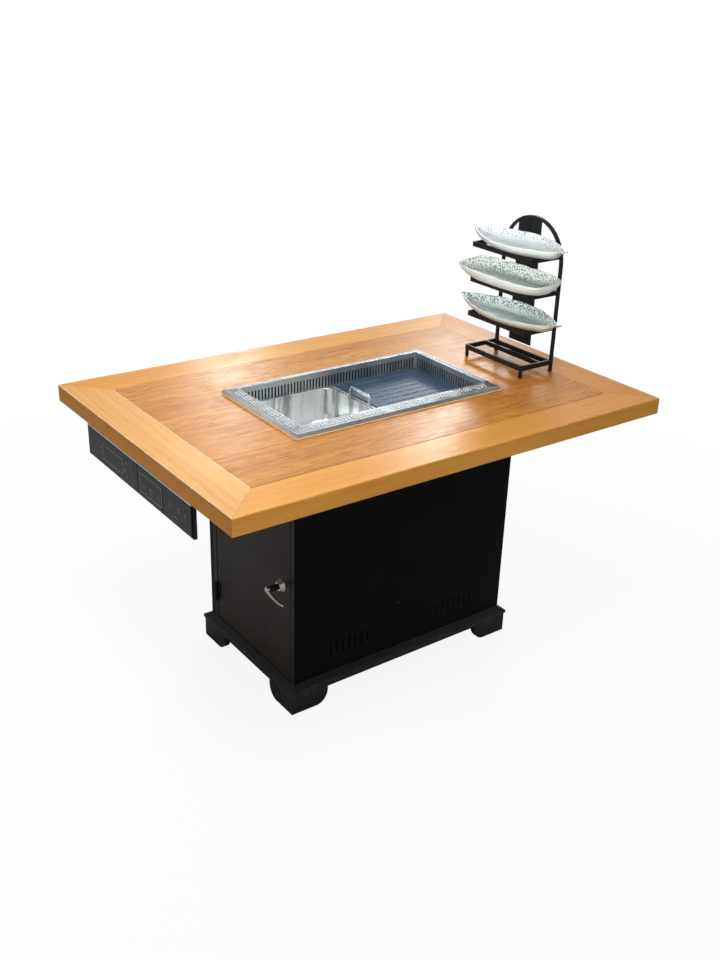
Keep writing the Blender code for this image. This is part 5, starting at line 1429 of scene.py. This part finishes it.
# Each symbol: how it is printed, its place along the panel and its height, and its own sizes
GREY_SYMBOLS = (
    (outline, 0.1295, 0.656, 0.115, 0.040, 0.003, 0.0015),
    (dot, 0.210, 0.670, 0.0024, 20),
    (dot, 0.195, 0.664, 0.0024, 20),
    (dot, 0.1975, 0.648, 0.0024, 20),
    (dot, 0.051, 0.6745, 0.0042, 3),
    (ring, 0.060, 0.654, 0.0045, 0.0011),
    (bar, 0.027, 0.672, 0.008, 0.0014),
    (ring, 0.026, 0.661, 0.0036, 0.0010),
    (bar, 0.053, 0.639, 0.009, 0.0014),
    (bar, 0.053, 0.639, 0.0014, 0.009),
    (outline, -0.0765, 0.6565, 0.112, 0.049, 0.006, 0.0015),
    (ring, -0.0405, 0.651, 0.0045, 0.0010),
    (dot, -0.075, 0.655, 0.0046, 3),
    (bar, -0.075, 0.646, 0.012, 0.0012),
    (bar, -0.212, 0.665, 0.010, 0.0014),
    (ring, -0.212, 0.657, 0.0034, 0.0010),
    (bar, -0.197, 0.638, 0.016, 0.0010),
)
RED_SYMBOLS = (
    (ring, -0.114, 0.648, 0.0040, 0.0012),
    (bar, -0.114, 0.6536, 0.0012, 0.005),
    (ring, -0.172, 0.659, 0.0046, 0.0013),
    (bar, -0.172, 0.6655, 0.0013, 0.0055),
    (dot, -0.243, 0.661, 0.0046, 3),
    (bar, -0.243, 0.6535, 0.008, 0.0013),
)
CONTROL_EASE = 0.0008
PANEL_HIGHLIGHT_PROFILE = ((-0.0032, 0.0), (-0.0032, 0.0018), (-0.0024, 0.0026), (0.0001, 0.0026), (0.0001, 0.0))
PANEL_HIGHLIGHT_DROP = 0.0036
PANEL_HIGHLIGHT_END = 0.004


def finish_controls():
    """Moulded housing with a pale strip along its top that is a painted highlight, and three touch glasses
    with eased edges and printed symbols.
    """
    ease("control_panel_housing", CONTROL_EASE, PLASTIC)
    for place in ("near", "middle", "far"):
        ease(place + "_touch_glass", CONTROL_EASE, GLASS, 3)
    for name, symbols, finish in (
        ("grey_touch_symbols", GREY_SYMBOLS, GREY_PRINT),
        ("red_touch_symbols", RED_SYMBOLS, RED_PRINT),
    ):
        shape = bmesh.new()
        for print_symbol, *sizes in symbols:
            print_symbol(shape, *sizes)
        bmesh.ops.recalc_face_normals(shape, faces=shape.faces)
        settle(new_object(name, mesh_from(shape, name)), "table", [finish])
    # A pale strip under the slab's edge paints the highlight along the panel's top.
    low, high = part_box("control_panel_housing")
    top_highlight = strip("panel_trim", PANEL_HIGHLIGHT_PROFILE, low.x, high.z - PANEL_HIGHLIGHT_DROP, (low.y + PANEL_HIGHLIGHT_END, high.y - PANEL_HIGHLIGHT_END))
    settle(top_highlight, "table", [PANEL_TOP_PAINTED_HIGHLIGHT])


HINGE_EASE = 0.0004
HINGE_FACE_OUT = 0.0023
HINGE_LEAF_HEIGHT = 0.028
HINGE_SCREW_RADIUS = 0.0028
HINGE_SCREW_SIDE = 0.005
HINGE_SCREW_DROP = 0.014
HINGE_SCREW_HALF_PITCH = 0.008
HINGE_SCREW_TURN = 0.3
ROSETTE_EASE = 0.0016
SPINDLE_EASE = 0.0005
LEVER_STEPS = 26
LEVER_SIDES = 18
LEVER_LENGTH = 0.058
LEVER_DROP = 0.45
LEVER_CURL = 0.012
LEVER_ROOT = Vector((-0.3913, -0.157, 0.348))
LEVER_ROOT_RADIUS = 0.0068
LEVER_TAPER = 0.0046
LEVER_TIP = 0.35
LEVER_TIP_ROUNDING = 12
LEVER_SMOOTH_ANGLE = 50.0
BOSS_SIDES = 32
# Radius of the lever's boss and place along its axis
BOSS_PROFILE = (
    (0.0050, -0.0058),
    (0.0066, -0.0054),
    (0.0076, -0.0042),
    (0.0080, -0.0020),
    (0.0080, 0.0040),
    (0.0074, 0.0054),
    (0.0062, 0.0058),
)


def finish_door_fittings():
    """Hinges with their screws, faceted rosette, black neck and the tapering lever."""
    for place in ("low", "high"):
        for leaf in ("door", "frame"):
            ease(f"{place}_hinge_{leaf}_leaf", HINGE_EASE, IRON)
    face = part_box("door_panel")[0].x - HINGE_FACE_OUT
    for leaf, body, side in (("door", "door", -1), ("frame", "table", 1)):
        spots = []
        for place in ("low", "high"):
            low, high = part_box(f"{place}_hinge_{leaf}_leaf")
            y = ((low + high) / 2).y + side * HINGE_SCREW_SIDE
            head = high.z if leaf == "door" else low.z + HINGE_LEAF_HEIGHT
            for row in (-1, 1):
                level = head - HINGE_SCREW_DROP + row * HINGE_SCREW_HALF_PITCH
                spots.append((Vector((face, y, level)), Euler((0, -pi / 2, HINGE_SCREW_TURN * row))))
        spread(f"{leaf}_hinge_screws", screw_head(), spots, HINGE_SCREW_RADIUS, IRON, body, "black_iron")
    ease("handle_rosette", ROSETTE_EASE, CHROME, 3)
    ease("handle_spindle", SPINDLE_EASE, IRON)
    shape = bmesh.new()
    path, radii = [], []
    for step in range(LEVER_STEPS + 1):
        share = step / LEVER_STEPS
        run = LEVER_LENGTH * share
        curl = LEVER_CURL * share**3
        path.append(LEVER_ROOT + Vector((curl, -run * cos(LEVER_DROP), -run * sin(LEVER_DROP))))
        tip = min(1.0, (1.0 - share) * LEVER_TIP_ROUNDING + LEVER_TIP)
        radii.append((LEVER_ROOT_RADIUS - LEVER_TAPER * share) * tip)
    round_tube(shape, path, radii, LEVER_SIDES)
    loops = []
    for radius, along in BOSS_PROFILE:
        spokes = round_loop(radius, 0.0, BOSS_SIDES)
        loops.append([LEVER_ROOT + Vector((along, spoke.x, spoke.y)) for spoke in spokes])
    close_ends(shape, loft(shape, loops))
    lever = new_object("tapering_lever", mesh_from(shape, "tapering_lever"))
    settle(smooth(lever, LEVER_SMOOTH_ANGLE), "handle", [CHROME], ["handle_lever"])


INSIDE_EASE = 0.0012
HOB_GLASS_EASE = 0.0008
SHEET_SCREW_RADIUS = 0.0040
SHEET_SCREW_INSET = 0.02
FAN_SCREW_INSET = 0.015


def finish_inside():
    """What shows when the door is open or the pot is out: hob, case, duct, filter and fan."""
    lay_finish("cooker_case", SOOT_AND_SHADE_STEEL)
    for node in ("smoke_duct", "fan_housing", "grease_filter", "fan_impeller"):
        lay_finish(node, ZINC)
    for node in ("hob_body", "fan_motor", "magnetic_catch"):
        ease(node, INSIDE_EASE, PLASTIC)
    ease("hob_glass", HOB_GLASS_EASE, GLASS)
    spots = []
    for node, inset, middle, turn in (
        ("smoke_duct", SHEET_SCREW_INSET, (), 0.4),
        ("fan_housing", FAN_SCREW_INSET, (0.0,), 0.9),
    ):
        low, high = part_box(node)
        for level in (low.z + inset, high.z - inset):
            for y in (low.y + SHEET_SCREW_INSET, *middle, high.y - SHEET_SCREW_INSET):
                spots.append((Vector((low.x, y, level)), Euler((0, -pi / 2, turn))))
    spread("sheet_screws", screw_head(), spots, SHEET_SCREW_RADIUS, ZINC, "table", "galvanised_sheet")


finish_cabinet()
finish_top()
finish_cooker()
finish_pot()
finish_dish("low_dish", roundness=0.95, flat_share=0.72, tail=1.0, waves=14, glazes=CELADON_GLAZE)
finish_dish("middle_dish", roundness=0.17, flat_share=0.53, tail=0.0, waves=18, glazes=TRAY_GLAZE)
finish_dish("top_dish", roundness=0.95, flat_share=0.72, tail=1.0, waves=12, glazes=PALE_GLAZE)
finish_rack()
finish_controls()
finish_door_fittings()
finish_inside()


def set_camera():
    """Put the camera where the photograph was taken from."""
    lens = bpy.data.cameras.new("photo_camera")
    lens.sensor_width = SENSOR
    lens.lens = FOCAL_PIXELS * SENSOR / IMAGE_HEIGHT
    lens.shift_x = (IMAGE_WIDTH / 2 - IMAGE_CENTRE[0]) / IMAGE_HEIGHT
    lens.shift_y = (IMAGE_CENTRE[1] - IMAGE_HEIGHT / 2) / IMAGE_HEIGHT
    camera = bpy.data.objects.new("photo_camera", lens)
    bpy.context.scene.collection.objects.link(camera)
    ahead = Vector(
        (
            -sin(CAMERA_YAW) * cos(CAMERA_PITCH),
            cos(CAMERA_YAW) * cos(CAMERA_PITCH),
            -sin(CAMERA_PITCH),
        )
    )
    level = Vector((cos(CAMERA_YAW), sin(CAMERA_YAW), 0))
    upright = level.cross(ahead)
    right = level * cos(CAMERA_ROLL) + upright * sin(CAMERA_ROLL)
    above = upright * cos(CAMERA_ROLL) - level * sin(CAMERA_ROLL)
    turn = Matrix((right, above, -ahead)).transposed()
    camera.matrix_world = Matrix.Translation(CAMERA_PLACE) @ turn.to_4x4()
    bpy.context.scene.camera = camera


def pale_seen(tree, lit, seen):
    """Mix a lit shader with the pale one that only the camera sees."""
    wires = Wiring(tree)
    path = wires.node("ShaderNodeLightPath").outputs
    return wires.stack(wires.node("ShaderNodeMixShader"), path["Is Camera Ray"], lit, seen)[0]


FLOOR_HALF = 12.0
WORLD_LEVEL = 0.32
FLOOR_BOUNCE = colour(0.50, 0.50, 0.50)
FLOOR_PALE = colour(0.88, 0.88, 0.88)
FLOOR_WHITE_NEAR = 0.90
FLOOR_FADE = (0.6, 2.6)
WHITE = colour(1, 1, 1)


def matt_floor(wires, paint):
    """Return a matt shader of one paint."""
    return wires.fill(wires.node("ShaderNodeBsdfDiffuse"), Color=paint)[0]


def build_stage():
    """Pale floor that keeps a soft shadow, and a white surround."""
    shape = bmesh.new()
    bmesh.ops.create_grid(shape, x_segments=8, y_segments=8, size=FLOOR_HALF)
    floor = new_object("studio_floor", mesh_from(shape, "studio_floor"))
    paint = bpy.data.materials.new("studio_floor_paint")
    paint.use_nodes = True
    wires = Wiring(paint.node_tree)
    paint.node_tree.nodes.remove(paint.node_tree.nodes["Principled BSDF"])
    glow = wires.fill(wires.node("ShaderNodeEmission"), Color=WHITE)
    away = wires.stack(wires.node("ShaderNodeVectorMath", operation="LENGTH"), wires.object_place())["Value"]
    shadowed = wires.stack(
        wires.node("ShaderNodeMixShader"),
        wires.between(away, *FLOOR_FADE, FLOOR_WHITE_NEAR, 1.0),
        matt_floor(wires, FLOOR_PALE),
        glow[0],
    )
    seen = pale_seen(paint.node_tree, matt_floor(wires, FLOOR_BOUNCE), shadowed[0])
    wires.feed(paint.node_tree.nodes["Material Output"].inputs["Surface"], seen)
    floor.data.materials.append(paint)

    world = bpy.data.worlds.new("studio_surround")
    world.use_nodes = True
    bpy.context.scene.world = world
    wires = Wiring(world.node_tree)
    soft = wires.fill(world.node_tree.nodes["Background"], Color=WHITE, Strength=WORLD_LEVEL)
    white = wires.fill(wires.node("ShaderNodeBackground"), Color=WHITE, Strength=1.0)
    seen = pale_seen(world.node_tree, soft[0], white[0])
    wires.feed(world.node_tree.nodes["World Output"].inputs["Surface"], seen)


def add_lamp(name, place, aim, size, power, spread=180.0):
    """Add a rectangular soft lamp that faces a point and throws its light within an angle."""
    lamp = bpy.data.lights.new(name, "AREA")
    lamp.shape = "RECTANGLE"
    lamp.size, lamp.size_y = size
    lamp.energy = power
    lamp.spread = radians(spread)
    holder = bpy.data.objects.new(name, lamp)
    bpy.context.scene.collection.objects.link(holder)
    place = Vector(place)
    turn = (Vector(aim) - place).to_track_quat("-Z", "Y")
    holder.matrix_world = Matrix.Translation(place) @ turn.to_matrix().to_4x4()


def light_stage():
    """Soft lamps overhead and in front; cards and two windows behind show in the steel and the wood."""
    add_lamp("overhead_softbox", (-1.1, -0.9, 3.6), (-0.56, -0.1, 0.7), (1.3, 1.3), 10.0, spread=62.0)
    add_lamp("front_fill", (-0.6, -4.2, 1.9), (0, 0, 0.6), (2.4, 1.6), 22.0)
    add_lamp("dish_fill", (-1.0, -1.0, 1.25), (0.47, -0.02, 1.05), (0.3, 0.3), 0.60, spread=24.0)
    add_lamp("ceiling_card", (1.4, 1.9, 3.2), (0, 0, 0.7), (3.0, 3.0), 11.0)
    add_lamp("left_card", (-2.6, 2.9, 1.7), (0, 0, 0.7), (2.0, 1.6), 8.0)
    add_lamp("back_card", (2.7, 3.5, 1.9), (0, 0, 0.7), (4.0, 2.4), 23.0)
    add_lamp("right_window", (2.45, 2.37, 2.27), (0, -0.38, 0.745), (0.46, 0.55), 31.0)
    add_lamp("rear_window", (1.63, 3.65, 2.07), (-0.205, 0.353, 0.745), (0.30, 0.40), 15.0)


set_camera()
build_stage()
light_stage()
bpy.context.scene.view_settings.view_transform = "Standard"
